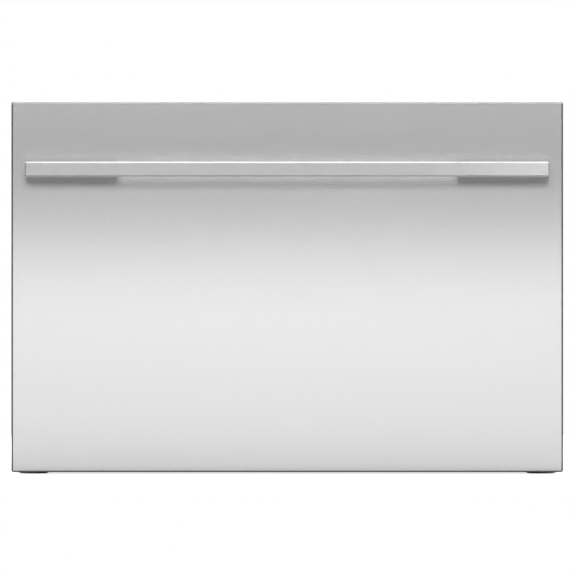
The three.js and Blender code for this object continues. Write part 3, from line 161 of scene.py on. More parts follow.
def spread(tree, source, low, high, start=0.3, stop=0.7):
    """A pattern turned into a range of numbers."""
    node = tree.nodes.new("ShaderNodeMapRange")
    node.inputs["From Min"].default_value = start
    node.inputs["From Max"].default_value = stop
    node.inputs["To Min"].default_value = low
    node.inputs["To Max"].default_value = high
    tree.links.new(source, node.inputs["Value"])
    return node.outputs["Result"]


def tint(tree, source, dark, light, start=0.3, stop=0.7):
    """A pattern turned into colours between two."""
    node = tree.nodes.new("ShaderNodeValToRGB")
    node.color_ramp.elements[0].position = start
    node.color_ramp.elements[1].position = stop
    node.color_ramp.elements[0].color = (*dark, 1.0)
    node.color_ramp.elements[1].color = (*light, 1.0)
    tree.links.new(source, node.inputs["Fac"])
    return node.outputs["Color"]


def relief(tree, surface, source, depth, strength=0.5):
    """A pattern turned into fine height on the surface."""
    node = tree.nodes.new("ShaderNodeBump")
    node.inputs["Distance"].default_value = depth
    node.inputs["Strength"].default_value = strength
    tree.links.new(source, node.inputs["Height"])
    tree.links.new(node.outputs["Normal"], surface.inputs["Normal"])


def coated(tree, surface, source, dark, light, gloss=None, start=0.3, stop=0.7):
    """A pattern turned into a surface's colour and, where given, its range of roughness."""
    tree.links.new(tint(tree, source, dark, light, start, stop), surface.inputs["Base Color"])
    if gloss:
        tree.links.new(spread(tree, source, *gloss, start, stop), surface.inputs["Roughness"])


floor_paint, tree, surface = shader("floor_paint", 0.7)
coated(tree, surface, grain(tree, 1.5), (0.80, 0.80, 0.80), (0.82, 0.82, 0.82))
glow = tree.nodes.new("ShaderNodeEmission")
reach = tree.nodes.new("ShaderNodeVectorMath")
reach.operation = "LENGTH"
spot = tree.nodes.new("ShaderNodeTexCoord")
tree.links.new(spot.outputs["Object"], reach.inputs[0])
tree.links.new(spread(tree, reach.outputs["Value"], 0.80, 1.05, 0.7, 1.6), glow.inputs["Strength"])
lit = tree.nodes.new("ShaderNodeAddShader")
looked_at = tree.nodes.new("ShaderNodeLightPath")
either = tree.nodes.new("ShaderNodeMixShader")
bounced = tree.nodes.new("ShaderNodeBsdfDiffuse")
bounced.inputs["Color"].default_value = (0.3, 0.3, 0.3, 1.0)
tree.links.new(surface.outputs[0], lit.inputs[0])
tree.links.new(glow.outputs[0], lit.inputs[1])
tree.links.new(looked_at.outputs["Is Camera Ray"], either.inputs[0])
tree.links.new(bounced.outputs[0], either.inputs[1])
tree.links.new(lit.outputs[0], either.inputs[2])
tree.links.new(either.outputs[0], tree.nodes["Material Output"].inputs["Surface"])
floor_mesh = bpy.data.meshes.new("floor")
floor_mesh.from_pydata(
    [(-floor_half, floor_front, -floor_drop), (floor_half, floor_front, -floor_drop),
     (floor_half, floor_back, -floor_drop), (-floor_half, floor_back, -floor_drop)],
    [], [(0, 1, 2, 3)])
floor_mesh.materials.append(floor_paint)
floor = placed("floor", floor_mesh)

# ---------- front panel
# One stainless sheet, its four edges folded back round a pressed paper core. The face is
# brushed from side to side. The skin is folded at a tight radius and its corners are welded
# and dressed, and the core is glued in from behind.
skin = 0.0012
fold_radius = 0.0018
corner_radius = 0.0023
fold_steps = 7
corner_steps = 6


def outline(half_x, half_y, radius, steps=6):
    """The points of a rectangle with round corners, anticlockwise about its middle."""
    points = []
    for quarter in range(4):
        middle_x = (half_x - radius) * (1, -1, -1, 1)[quarter]
        middle_y = (half_y - radius) * (1, 1, -1, -1)[quarter]
        for step in range(steps + 1):
            angle = math.radians(90 * (quarter + step / steps))
            points.append((middle_x + radius * math.cos(angle),
                           middle_y + radius * math.sin(angle)))
    return points


def body_from(name, shape, sharp=32):
    """An object from a bmesh, its doubles merged and its faces turned outwards."""
    bmesh.ops.remove_doubles(shape, verts=shape.verts, dist=1e-7)
    bmesh.ops.recalc_face_normals(shape, faces=shape.faces)
    mesh = bpy.data.meshes.new(name)
    shape.to_mesh(mesh)
    shape.free()
    mesh.shade_smooth()
    mesh.set_sharp_from_angle(angle=math.radians(sharp))
    return placed(name, mesh)


def settled(piece):
    """The piece with its modifiers worked into its mesh."""
    bpy.context.view_layer.update()
    graph = bpy.context.evaluated_depsgraph_get()
    mesh = bpy.data.meshes.new_from_object(piece.evaluated_get(graph), depsgraph=graph,
                                           preserve_all_data_layers=True)
    piece.modifiers.clear()
    old, piece.data = piece.data, mesh
    bpy.data.meshes.remove(old)
    mesh.name = piece.name
    return piece


def levelled(piece):
    """Keeps the shading of the broad faces flat, so that only the round edges bend it."""
    weight = piece.modifiers.new("level", "WEIGHTED_NORMAL")
    weight.mode = "FACE_AREA"
    weight.weight = 100
    weight.keep_sharp = True
    return settled(piece)


def loft(name, loops, ring=False, sharp=32):
    """Quads between closed loops of as many points each, with flat ends or joined in a ring."""
    shape = bmesh.new()
    rows = [[shape.verts.new(point) for point in loop] for loop in loops]
    last = len(rows) if ring else len(rows) - 1
    for row in range(last):
        one, two = rows[row], rows[(row + 1) % len(rows)]
        for k in range(len(one)):
            n = (k + 1) % len(one)
            shape.faces.new((one[k], one[n], two[n], two[k]))
    if not ring:
        shape.faces.new(rows[0])
        shape.faces.new(rows[-1])
    return body_from(name, shape, sharp)


def fitted(piece, material, body, slot, *replaced):
    """Gives a finished piece its material, the body it moves with and what it stands for."""
    piece.data.materials.clear()
    piece.data.materials.append(material)
    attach(piece, body)
    if replaced:
        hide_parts(*replaced)
    return piece


def painted(node, material):
    """Gives a node that keeps its own shape its material."""
    nodes[node].data.materials.clear()
    nodes[node].data.materials.append(material)


def brushed(name, tone, scale=1.0, roughness=(0.260, 0.271)):
    """Stainless steel brushed from side to side: long fine scratches and faint cloudy bands."""
    material, tree, surface = shader(name, 0.36, 1.0)
    scratch = grain(tree, 1.0, (9.0 * scale, 900.0 * scale, 1500.0 * scale), 5.0)
    band = grain(tree, 1.0, (0.8, 6.0, 26.0), 2.0)
    mix = tree.nodes.new("ShaderNodeMix")
    mix.inputs["Factor"].default_value = 0.3
    tree.links.new(scratch, mix.inputs["A"])
    tree.links.new(band, mix.inputs["B"])
    dark = tuple(channel * 0.95 for channel in tone)
    coated(tree, surface, mix.outputs["Result"], dark, tone)
    tree.links.new(spread(tree, scratch, *roughness), surface.inputs["Roughness"])
    surface.inputs["Anisotropic"].default_value = 0.55
    surface.inputs["Anisotropic Rotation"].default_value = 0.25
    along = tree.nodes.new("ShaderNodeTangent")
    along.direction_type = "RADIAL"
    along.axis = "Z"
    tree.links.new(along.outputs["Tangent"], surface.inputs["Tangent"])
    relief(tree, surface, scratch, 0.000001, 0.05)
    return material


panel_half = (panel_high.x, (panel_high.z - panel_low.z) / 2)
panel_middle = (panel_high.z + panel_low.z) / 2


def panel_loop(y, inset, radius):
    return [(x, y, panel_middle + z) for x, z in
            outline(panel_half[0] - inset, panel_half[1] - inset, radius, corner_steps)]


loops = [panel_loop(panel_low.y + skin, skin, corner_radius - skin),
         panel_loop(panel_high.y, skin, corner_radius - skin),
         panel_loop(panel_high.y, 0.0, corner_radius)]
for step in range(fold_steps + 1):
    turn = math.radians(90 * step / fold_steps)
    loops.append(panel_loop(panel_low.y + fold_radius * (1 - math.sin(turn)),
                            fold_radius * (1 - math.cos(turn)),
                            corner_radius - fold_radius * (1 - math.cos(turn))))
panel_steel = brushed("panel_steel", (0.80, 0.80, 0.795))
panel = fitted(levelled(loft("panel_skin", loops)), panel_steel, "drawer", "panel_stainless",
               "front_panel")
# The folded edges take darker copies of the steel as painted shade: the side folds darkest and the
# top fold less so, standing in for the shade along the edges.
for fold, tone in (("top", 0.54), ("side", 0.24)):
    panel.data.materials.append(brushed(f"{fold}_fold_steel", (tone, tone, tone), 1.0,
                                        (0.34, 0.36)))
for face in panel.data.polygons:
    if face.normal.y > -0.995 and face.normal.z > -0.3:
        face.material_index = 2 if abs(face.normal.x) > 0.1 else 1

core_board, tree, surface = shader("pressed_board", 0.85)
fibre = grain(tree, 420.0, detail=6.0)
coated(tree, surface, fibre, (0.25, 0.2, 0.14), (0.42, 0.35, 0.25))
relief(tree, surface, fibre, 0.0003)
painted("panel_core", core_board)

# ---------- handle
# A flat stainless bar on two broad stainless posts, brushed along its length. Its long
# edges are eased, and each post is screwed on from inside the panel.
bar_edge = 0.0014
post_edge = 0.0006


def eased_box(name, low, high, edge, steps=4):
    """A block with round edges."""
    shape = bmesh.new()
    bmesh.ops.create_cube(shape, size=1.0)
    low, high = Vector(low), Vector(high)
    size = high - low
    for vertex in shape.verts:
        vertex.co = low + Vector(((vertex.co[k] + 0.5) * size[k] for k in range(3)))
    bmesh.ops.bevel(shape, geom=shape.edges[:], offset=edge, segments=steps, profile=0.5,
                    affect="EDGES", clamp_overlap=True)
    return levelled(body_from(name, shape, 60))


bar_trim = Vector((0.0009, 0.0, 0.0))
bar_low, bar_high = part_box("handle_bar")
# The bar's steel gets a lighter tone than the panel's and the posts' as painted light, to brighten
# its face.
bar_steel = brushed("bar_steel", (0.97, 0.97, 0.965), 1.4)
bar = fitted(eased_box("handle_grip_bar", bar_low + bar_trim, bar_high - bar_trim, bar_edge, 6),
             bar_steel, "drawer", "handle_stainless", "handle_bar")
post_steel = brushed("post_steel", (0.80, 0.80, 0.795), 1.0, (0.38, 0.40))
posts = []
for side, sign in (("right", 1), ("left", -1)):
    post_low, post_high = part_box(f"handle_post_{side}")
    if sign > 0:
        post_high = post_high - bar_trim
    else:
        post_low = post_low + bar_trim
    posts.append(fitted(eased_box(f"handle_block_{side}", post_low, post_high, post_edge),
                        post_steel, "drawer", "handle_stainless", f"handle_post_{side}"))


def left_out(name, pieces):
    """A group of pieces that a light leaves out."""
    group = bpy.data.collections.new(name)
    for piece in pieces:
        group.objects.link(piece)
    for member in group.collection_objects:
        member.light_linking.link_state = "EXCLUDE"
    return group


lit_alone = bpy.data.collections.new("bar_alone")
lit_alone.objects.link(bar)
bar_strip.light_linking.receiver_collection = lit_alone
for light in past_bar:
    light.light_linking.blocker_collection = left_out(f"let_by_{light.name}", [bar])
for light in high_lights:
    light.light_linking.receiver_collection = left_out(f"unlit_{light.name}", posts)
floor_card.light_linking.receiver_collection = left_out("unlit_floor_card", [*posts, bar])

# ---------- chassis sheets
# The chassis is folded from galvanised sheet: two sides, a roof and a back, spot welded
# and screwed together. Long beads are pressed into the flat sheets to stiffen them, and
# the zinc shows its faint spangle.
front_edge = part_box("chassis_side_right")[0].y
bead_height = 0.0014
bead_width = 0.015
sheet_edge = 0.0005
screw_radius = 0.0042
screw_height = 0.0018
screw_slot = 0.0007


def at(x, y, z):
    """A point from millimetres: from the middle, the chassis's front edge and the floor."""
    return Vector((x / 1000, front_edge + y / 1000, z / 1000))


def eased(name, node, edge, steps=2, angle=25):
    """A copy of a node with its hard edges rounded over."""
    shape = bmesh.new()
    shape.from_mesh(nodes[node].data)
    bmesh.ops.remove_doubles(shape, verts=shape.verts, dist=2e-6)
    shape.normal_update()
    bmesh.ops.dissolve_limit(shape, angle_limit=math.radians(0.6), verts=shape.verts,
                             edges=shape.edges)
    mesh = bpy.data.meshes.new(name)
    shape.to_mesh(mesh)
    shape.free()
    mesh.shade_smooth()
    piece = placed(name, mesh)
    rounding = piece.modifiers.new("rounding", "BEVEL")
    rounding.width = edge
    rounding.segments = steps
    rounding.limit_method = "ANGLE"
    rounding.angle_limit = math.radians(angle)
    settled(piece)
    piece.data.set_sharp_from_angle(angle=math.radians(50))
    return levelled(piece)


def dressed(name, node, edge, material, body, slot, steps=2, angle=25):
    """A node's copy with its edges rounded over, given its finish and its place."""
    return fitted(eased(name, node, edge, steps, angle), material, body, slot, node)


def cleared(piece):
    """Takes away a piece that is no longer needed, with its mesh."""
    spare = piece.data
    bpy.data.objects.remove(piece)
    bpy.data.meshes.remove(spare)


def joined(piece, *others):
    """Adds other pieces' faces to a piece of the same material."""
    shape = bmesh.new()
    for part in (piece, *others):
        shape.from_mesh(part.data)
    shape.to_mesh(piece.data)
    shape.free()
    for part in others:
        cleared(part)
    return piece


def turned_to(piece, middle, right, up, out):
    """Moves a piece made about the origin so that its x, y and z run along three ways."""
    frame_of = Matrix((right, up, out)).transposed().to_4x4()
    frame_of.translation = middle
    piece.data.transform(frame_of)
    return piece


X, Y, Z = Vector((1, 0, 0)), Vector((0, 1, 0)), Vector((0, 0, 1))


def bead(name, middle, right, out, length, width=bead_width, height=bead_height):
    """A pressed bead with round ends, lying on a sheet and standing out of it."""
    loops = []
    for step in range(6):
        turn = math.radians(90 * step / 5)
        inset = width * 0.3 * (1 - math.cos(turn))
        rise = height * math.sin(turn)
        half = (length / 2 - inset, width / 2 - inset)
        loops.append([(x, y, rise) for x, y in outline(*half, width / 2 - inset - 1e-5, 6)])
    base = [(x, y, -0.0002) for x, y in outline(length / 2, width / 2, width / 2 - 1e-5, 6)]
    piece = loft(name, [base] + loops, sharp=60)
    return turned_to(piece, middle, right, out.cross(right), out)


def beads(name, places, right, out, length, width=bead_width):
    """A row of like beads on one sheet."""
    return [bead(f"{name}_{k}", place, right, out, length, width)
            for k, place in enumerate(places)]


def turned(name, profile, middle, out, sides=20, sharp=40):
    """A round piece from its radii and heights along an axis, closed at both ends."""
    turns = [2 * math.pi * k / sides for k in range(sides)]
    loops = [[(radius * math.cos(turn), radius * math.sin(turn), height) for turn in turns]
             for radius, height in profile]
    right = X if abs(out.dot(X)) < 0.9 else Y
    right = (right - out * right.dot(out)).normalized()
    return turned_to(loft(name, loops, sharp=sharp), middle, right, out.cross(right), out)


def node_tree(name, *labels):
    """A new tree of nodes, its named inputs' identifiers, and its way in and way out."""
    tree = bpy.data.node_groups.new(name, "GeometryNodeTree")
    face = tree.interface
    face.new_socket("Geometry", in_out="INPUT", socket_type="NodeSocketGeometry")
    face.new_socket("Geometry", in_out="OUTPUT", socket_type="NodeSocketGeometry")
    sockets = {label: face.new_socket(label, in_out="INPUT", socket_type=kind).identifier
               for label, kind in labels}
    return tree, sockets, tree.nodes.new("NodeGroupInput"), tree.nodes.new("NodeGroupOutput")


def end_tree(tree, geometry, way_in, way_out):
    """Ends a tree: every copy made real, its material set, and out."""
    real = tree.nodes.new("GeometryNodeRealizeInstances")
    coat = tree.nodes.new("GeometryNodeSetMaterial")
    tree.links.new(geometry, real.inputs["Geometry"])
    tree.links.new(real.outputs["Geometry"], coat.inputs["Geometry"])
    tree.links.new(way_in.outputs["Finish"], coat.inputs["Material"])
    tree.links.new(coat.outputs["Geometry"], way_out.inputs["Geometry"])


def built(piece, tree, values):
    """Runs a piece through a tree of nodes, with the tree's inputs set by identifier."""
    builder = piece.modifiers.new("builder", "NODES")
    builder.node_group = tree
    for identifier, value in values.items():
        builder[identifier] = value
    return settled(piece)


def set_out(name, one, places, outs, material):
    """Copies of one small piece set out at points, each facing its own way, by nodes."""
    mesh = bpy.data.meshes.new(name)
    mesh.from_pydata([tuple(place) for place in places], [], [])
    facing = mesh.attributes.new("facing", "FLOAT_VECTOR", "POINT")
    facing.data.foreach_set("vector", [value for out in outs for value in out])
    piece = placed(name, mesh)
    tree, sockets, way_in, way_out = node_tree("set_out", ("One piece", "NodeSocketObject"),
                                               ("Finish", "NodeSocketMaterial"))
    pick = tree.nodes.new("GeometryNodeObjectInfo")
    copies = tree.nodes.new("GeometryNodeInstanceOnPoints")
    named = tree.nodes.new("GeometryNodeInputNamedAttribute")
    named.data_type = "FLOAT_VECTOR"
    named.inputs["Name"].default_value = "facing"
    align = tree.nodes.new("FunctionNodeAlignEulerToVector")
    align.axis = "Z"
    link = tree.links.new
    link(way_in.outputs["Geometry"], copies.inputs["Points"])
    link(way_in.outputs["One piece"], pick.inputs["Object"])
    link(pick.outputs["Geometry"], copies.inputs["Instance"])
    link(named.outputs[0], align.inputs["Vector"])
    link(align.outputs["Rotation"], copies.inputs["Rotation"])
    end_tree(tree, copies.outputs["Instances"], way_in, way_out)
    built(piece, tree, {sockets["One piece"]: one, sockets["Finish"]: material})
    cleared(one)
    return piece


def screw_head(radius=screw_radius, height=screw_height):
    """A cross-recessed pan head, its underside on the plane that it is screwed to."""
    profile = [(radius, -0.0002), (radius, height * 0.25)]
    for step in range(1, 6):
        turn = math.radians(90 * step / 5)
        profile.append((radius * (1 - 0.42 * (1 - math.cos(turn))),
                        height * (0.25 + 0.75 * math.sin(turn))))
    profile += [(radius * 0.42, height), (radius * 0.30, height - screw_slot)]
    return turned("screw_head", profile, Vector((0, 0, 0)), Z, 16)


def galvanised(name, light=(0.60, 0.61, 0.62), dark=(0.50, 0.515, 0.53)):
    """Hot-dip zinc on sheet: faint crystals, cloudy patches and fine rolling marks."""
    material, tree, surface = shader(name, 0.42, 0.9)
    crystal = grain(tree, 85.0, detail=1.0, kind="ShaderNodeTexVoronoi")
    patch = grain(tree, 9.0, detail=4.0)
    mix = tree.nodes.new("ShaderNodeMix")
    mix.inputs["Factor"].default_value = 0.45
    tree.links.new(crystal, mix.inputs["A"])
    tree.links.new(patch, mix.inputs["B"])
    coated(tree, surface, mix.outputs["Result"], dark, light, (0.34, 0.5), 0.2, 0.8)
    relief(tree, surface, grain(tree, 260.0), 0.00004, 0.3)
    return material


galvanised_sheet = galvanised("galvanised_sheet")
plated_steel, tree, surface = shader("bright_zinc_plate", 0.28, 1.0)
rolled = grain(tree, 1.0, (160.0, 14.0, 220.0), 4.0)
coated(tree, surface, grain(tree, 28.0), (0.60, 0.62, 0.655), (0.73, 0.735, 0.74))
tree.links.new(spread(tree, rolled, 0.22, 0.36), surface.inputs["Roughness"])
relief(tree, surface, rolled, 0.00002, 0.3)


def screwed(name, spots, out, radius=screw_radius, height=screw_height):
    """Plated screws at points of the chassis, all facing one way."""
    screws = set_out(name, screw_head(radius, height), spots, [out] * len(spots), plated_steel)
    fitted(screws, plated_steel, "chassis", "zinc_steel")


for side, sign in (("right", 1), ("left", -1)):
    low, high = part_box(f"chassis_side_{side}")
    face = sign * max(abs(low.x), abs(high.x)) * 1000
    sheet = eased(f"side_sheet_{side}", f"chassis_side_{side}", sheet_edge)
    places = [at(face, 275, z) for z in (62, 100, 205, 243, 348)]
    pressed = beads(f"side_bead_{side}", places, Y, X * sign, 0.43)
    fitted(joined(sheet, *pressed), galvanised_sheet, "chassis", "galvanised_sheet",
           f"chassis_side_{side}")
    spots = [at(face, y, z) for z in (132, 168) for y in (30, 150, 270, 390, 495)]
    spots += [at(face, y, z) for z in (388, 20) for y in (24, 190, 356, 520)]
    screwed(f"side_screws_{side}", spots, X * sign)

roof_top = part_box("chassis_roof")[1].z * 1000
roof = eased("roof_sheet", "chassis_roof", sheet_edge)
places = [at(x, 290, roof_top) for x in (-225, -135, -45, 45, 135, 225)]
pressed = beads("roof_bead", places, Y, Z, 0.40, 0.018)
pressed += beads("roof_cross", [at(0, y, roof_top) for y in (55, 520)], X, Z, 0.48, 0.012)
fitted(joined(roof, *pressed), galvanised_sheet, "chassis", "galvanised_sheet", "chassis_roof")
spots = [at(x, y, roof_top) for x in (-287, 287) for y in (24, 200, 376, 532)]
screwed("roof_screws", spots, Z, 0.0036, 0.0015)

back_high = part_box("chassis_back")[1]
back_face = (back_high.y - front_edge) * 1000
back = eased("back_sheet", "chassis_back", 0.0004)
places = [at(x, back_face, 225) for x in (-245, -185, -125, 125, 185, 245)]
pressed = beads("back_bead", places, Z, Y, 0.25, 0.016)
pressed += beads("back_long", [at(0, back_face, z) for z in (310, 350)], X, Y, 0.40, 0.014)
fitted(joined(back, *pressed), galvanised_sheet, "chassis", "galvanised_sheet", "chassis_back")
spots = [at(x, back_face, z) for x in (-286, 286) for z in (30, 110, 200, 290, 380)]
spots += [at(x, back_face, 388) for x in (-200, -100, 0, 100, 200)]
spots += [at(x, back_face, 18) for x in (-140, 140)]
screwed("back_screws", spots, Y)

dressed("drip_tray_sheet", "base_tray", 0.0004, galvanised_sheet, "chassis", "galvanised_sheet")
for side in ("right", "left"):
    dressed(f"fixing_ear_{side}", f"fixing_tab_{side}", 0.0003, plated_steel, "chassis",
            "zinc_steel")

# ---------- brow trim and feet
# The brow is a moulded strip that hides the roof's lip above the open drawer. The four
# feet are ribbed rubber pads, pushed into the chassis by their stems.


def moulded(name, tone, roughness=0.5, relief_depth=0.00008, speck=900.0, shift=0.86):
    """Moulded plastic with the mould's fine grain and slow changes in its gloss."""
    material, tree, surface = shader(name, roughness)
    dark = tuple(channel * shift for channel in tone)
    coated(tree, surface, grain(tree, 14.0), dark, tone, (roughness - 0.06, roughness + 0.08))
    relief(tree, surface, grain(tree, speck, detail=2.0), relief_depth, 0.35)
    return material


dark_plastic = moulded("dark_moulding", (0.050, 0.053, 0.058), 0.48)
foot_rubber = moulded("foot_rubber", (0.70, 0.70, 0.70), 0.7, 0.0002, 500.0)
dressed("brow_strip", "brow_trim", 0.0008, dark_plastic, "chassis", "dark_plastic", 3)
for row in ("front", "rear"):
    for side in ("right", "left"):
        node = f"foot_{row}_{side}"
        low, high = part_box(node)
        middle = (low + high) / 2
        middle.z = low.z
        radius = (high.x - low.x) / 2
        top = high.z - low.z
        pad = [(radius * 0.80, 0.0), (radius * 0.97, 0.0006), (radius, 0.0016), (radius, 0.0030),
               (radius * 0.93, 0.0034), (radius * 0.93, 0.0046), (radius, 0.0050), (radius, 0.0064),
               (radius * 0.95, 0.0074), (radius * 0.80, 0.0077), (0.0052, 0.0077), (0.0049, 0.0082),
               (0.0049, top - 0.0006), (0.0042, top)]
        foot = turned(f"foot_pad_{row}_{side}", pad, middle, Z, 32)
        fitted(foot, foot_rubber, "chassis", "foot_rubber", node)

# ---------- runners
# Each side has a ball-bearing runner in three members, rolled from zinc-plated strip. Two
# cages of hardened balls hold the members apart.
member_edge = 0.0004
for side in ("right", "left"):
    for member, body in (("outer", "chassis"), ("middle", f"runner_middle_{side}"),
                         ("inner", "drawer")):
        dressed(f"slide_{member}_{side}", f"runner_{member}_{side}", member_edge, plated_steel,
                body, "zinc_steel")
    for cage in ("outer", "inner"):
        node = f"{cage}_ball_cage_{side}"
        dressed(f"balls_{cage}_{side}", node, 0.00012, plated_steel, node, "zinc_steel", 1, 60)

# ---------- lid lifts
# A pair of moulded lifts hangs under the roof, one to each side. Their motors lower the
# lid onto the tub once the drawer is shut.
for side in ("right", "left"):
    dressed(f"lid_lift_{side}", f"lid_actuator_{side}", 0.0006, dark_plastic, "chassis",
            "dark_plastic")

# ---------- lid
# A moulded polypropylene lid, ribbed on top, hangs over the tub by two lugs. A hollow
# rubber seal is pushed onto its skirt, and closes on the tub's rim.
tub_grey = moulded("tub_moulding", (0.66, 0.675, 0.685), 0.36, 0.00005, 600.0, 0.93)
lid_grey = moulded("lid_moulding", (0.47, 0.49, 0.50), 0.42)
seal_rubber = moulded("seal_rubber", (0.040, 0.041, 0.045), 0.62, 0.00006, 700.0)
dressed("lid_moulding", "lid_shell", 0.0009, lid_grey, "lid", "grey_plastic", 3)
tub_half = (0.2733, 0.2399)
tub_y = 283.9
tub_corner = 0.045


def tub_loop(grow, height, steps=12):
    """A loop round the tub, so far outside its wall, at a height in millimetres."""
    middle = at(0, tub_y, height)
    return [middle + Vector((x, y, 0.0)) for x, y in
            outline(tub_half[0] + grow, tub_half[1] + grow, tub_corner + grow, steps)]


seal_loops = []
for step in range(14):
    turn = 2 * math.pi * step / 14
    across, rise = 0.0033 * math.cos(turn), 0.00195 * math.sin(turn)
    seal_loops.append(tub_loop(0.0005 + across, 366.5 + rise * 1000))
fitted(loft("lid_seal_tube", seal_loops, ring=True, sharp=180), seal_rubber, "lid", "seal_rubber",
       "lid_seal")

# ---------- frame and controls behind the panel
# A moulded frame ties the panel to the tub. Its top edge is the control deck: a polished
# black strip with a smoked display and four lacquered keys, over a green circuit board.
frame_grey = moulded("frame_moulding", (0.42, 0.44, 0.45), 0.46)
dressed("front_frame_moulding", "front_frame", 0.0007, frame_grey, "drawer", "grey_plastic")
dressed("controller_case", "controller_box", 0.0012, dark_plastic, "drawer", "dark_plastic", 3)

deck_gloss, tree, surface = shader("deck_gloss", 0.12)
coated(tree, surface, grain(tree, 60.0, detail=5.0), (0.010, 0.011, 0.013),
       (0.016, 0.017, 0.019), (0.08, 0.18))
surface.inputs["Coat Weight"].default_value = 0.6
surface.inputs["Coat Roughness"].default_value = 0.04
dressed("deck_strip", "control_deck", 0.0008, deck_gloss, "drawer", "deck_gloss", 3)

lens_smoke, tree, surface = shader("smoked_lens", 0.06)
coated(tree, surface, grain(tree, 240.0, detail=1.0), (0.008, 0.010, 0.013),
       (0.014, 0.017, 0.021), (0.04, 0.09))
surface.inputs["Coat Weight"].default_value = 1.0
dressed("display_lens", "display_window", 0.0005, lens_smoke, "drawer", "display_lens", 3)

board_green, tree, surface = shader("circuit_board", 0.45)
track = grain(tree, 1.0, (900.0, 260.0, 300.0), 2.0, "ShaderNodeTexVoronoi")
coated(tree, surface, track, (0.015, 0.08, 0.035), (0.045, 0.19, 0.09), None, 0.45, 0.55)
relief(tree, surface, track, 0.00004)
painted("control_board", board_green)

key_silver, tree, surface = shader("key_lacquer", 0.3, 0.75)
fleck = grain(tree, 1800.0, detail=2.0)
coated(tree, surface, fleck, (0.52, 0.53, 0.54), (0.70, 0.71, 0.72), (0.24, 0.36))
relief(tree, surface, fleck, 0.00002)
for name in ("power", "program", "delay", "start"):
    key = eased(f"{name}_button", f"{name}_key", 0.0006, 3)
    low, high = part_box(f"{name}_key")
    top = Vector(((low.x + high.x) / 2, (low.y + high.y) / 2, high.z))
    dish = turned(f"{name}_ring", [(0.0031, -0.0003), (0.0031, 0.00015), (0.0029, 0.00025),
                                   (0.0024, 0.00025), (0.0022, -0.00005), (0.0021, -0.0003)],
                  top, Z, 24)
    fitted(joined(key, dish), key_silver, f"{name}_key", "key_plastic", f"{name}_key")

# ---------- tub
# One large polypropylene moulding. Its floor runs round into the walls, a flat rim meets
# the lid's seal, a round hole leads to the pump, and the runners bolt to its side pads.
wall = 0.003
floor_round = 0.016
rim = 0.010
sump_radius = 0.068
sump_y = 311.9
floor_z, under_z, rim_z = 77.4, 74.4, 352.2


def sump_loop(radius, height, steps=12):
    """A circle about the sump with as many points as a loop round the tub."""
    middle = at(0, sump_y, height)
    points = []
    for quarter in range(4):
        for step in range(steps + 1):
            turn = math.radians(90 * quarter + 90 * (step + 0.5) / (steps + 1))
            points.append(middle + Vector((radius * math.cos(turn), radius * math.sin(turn), 0.0)))
    return points


loops = [sump_loop(sump_radius, floor_z - 1.0), sump_loop(sump_radius + 0.001, floor_z)]
for step in range(8):
    turn = math.radians(90 * step / 7)
    loops.append(tub_loop(-wall - floor_round * (1 - math.sin(turn)),
                          floor_z + 1000 * floor_round * (1 - math.cos(turn))))
rim_section = [(-wall, 40), (-wall, 1.5), (-wall + 0.0005, 0.4), (-wall + 0.0015, 0.0),
               (rim - 0.0012, 0.0), (rim - 0.0003, 0.4), (rim, 1.2), (rim, 4.0),
               (0.0015, 4.0), (0.0, 6.0)]
loops += [tub_loop(grow, rim_z - below) for grow, below in rim_section]
for step in range(8):
    turn = math.radians(90 * step / 7)
    loops.append(tub_loop(-0.019 * (1 - math.cos(turn)), under_z + 19 * (1 - math.sin(turn))))
loops.append(sump_loop(sump_radius, under_z))
shell = levelled(loft("tub_moulding", loops, ring=True, sharp=40))
cutter = eased_box("cutter", at(-70, 40, 257.2), at(70, 50, 313.2), 0.002, 3)
opening = shell.modifiers.new("opening", "BOOLEAN")
opening.operation = "DIFFERENCE"
opening.solver = "EXACT"
opening.object = cutter
settled(shell)
bpy.data.objects.remove(cutter)
pads = []
for side in (-1, 1):
    inner, outer = sorted((side * 272.3, side * 280.5))
    pads.append(eased_box(f"runner_pad_{side}", at(inner, 89, 137), at(outer, 478.8, 163),
                          0.0012, 2))
    for k in range(9):
        y = 110 + 43.5 * k
        low_x, high_x = sorted((side * 272.6, side * 275.2))
        for rib, foot, head in (("side_rib", 172, 340), ("low_rib", 98, 130)):
            pads.append(eased_box(f"{rib}_{side}_{k}", at(low_x, y, foot), at(high_x, y + 3, head),
                                  0.0006, 1))
fitted(joined(shell, *pads), tub_grey, "drawer", "tub_plastic", "tub")

# ---------- dispenser
# A moulded body clipped into the tub's front wall, with a sprung flap over the detergent
# cup and a quarter-turn cap on the rinse-aid tank. The cap has a knurled edge.
dispenser_grey = moulded("dispenser_moulding", (0.46, 0.48, 0.495), 0.4)
dressed("dispenser_moulding", "dispenser_body", 0.0008, dispenser_grey, "drawer",
        "grey_plastic", 3)
dressed("detergent_flap", "dispenser_flap", 0.0005, lid_grey, "dispenser_flap", "grey_plastic")
cap = eased("rinse_aid_cap", "rinse_cap", 0.0006)
cap_middle = at(39, 61.6, 285.2)
turns = [math.radians(12 * k) for k in range(30)]
places = [cap_middle + 0.0168 * Vector((math.cos(turn), 0.0, math.sin(turn))) for turn in turns]
knurl = set_out("cap_knurl", turned("ridge_pin", [(0.0006, -0.0016), (0.0006, 0.0016)],
                                    Vector((0, 0, 0)), Z, 6), places, [Y] * 30, dark_plastic)
fitted(joined(cap, knurl), dark_plastic, "rinse_cap", "dark_plastic", "rinse_cap")

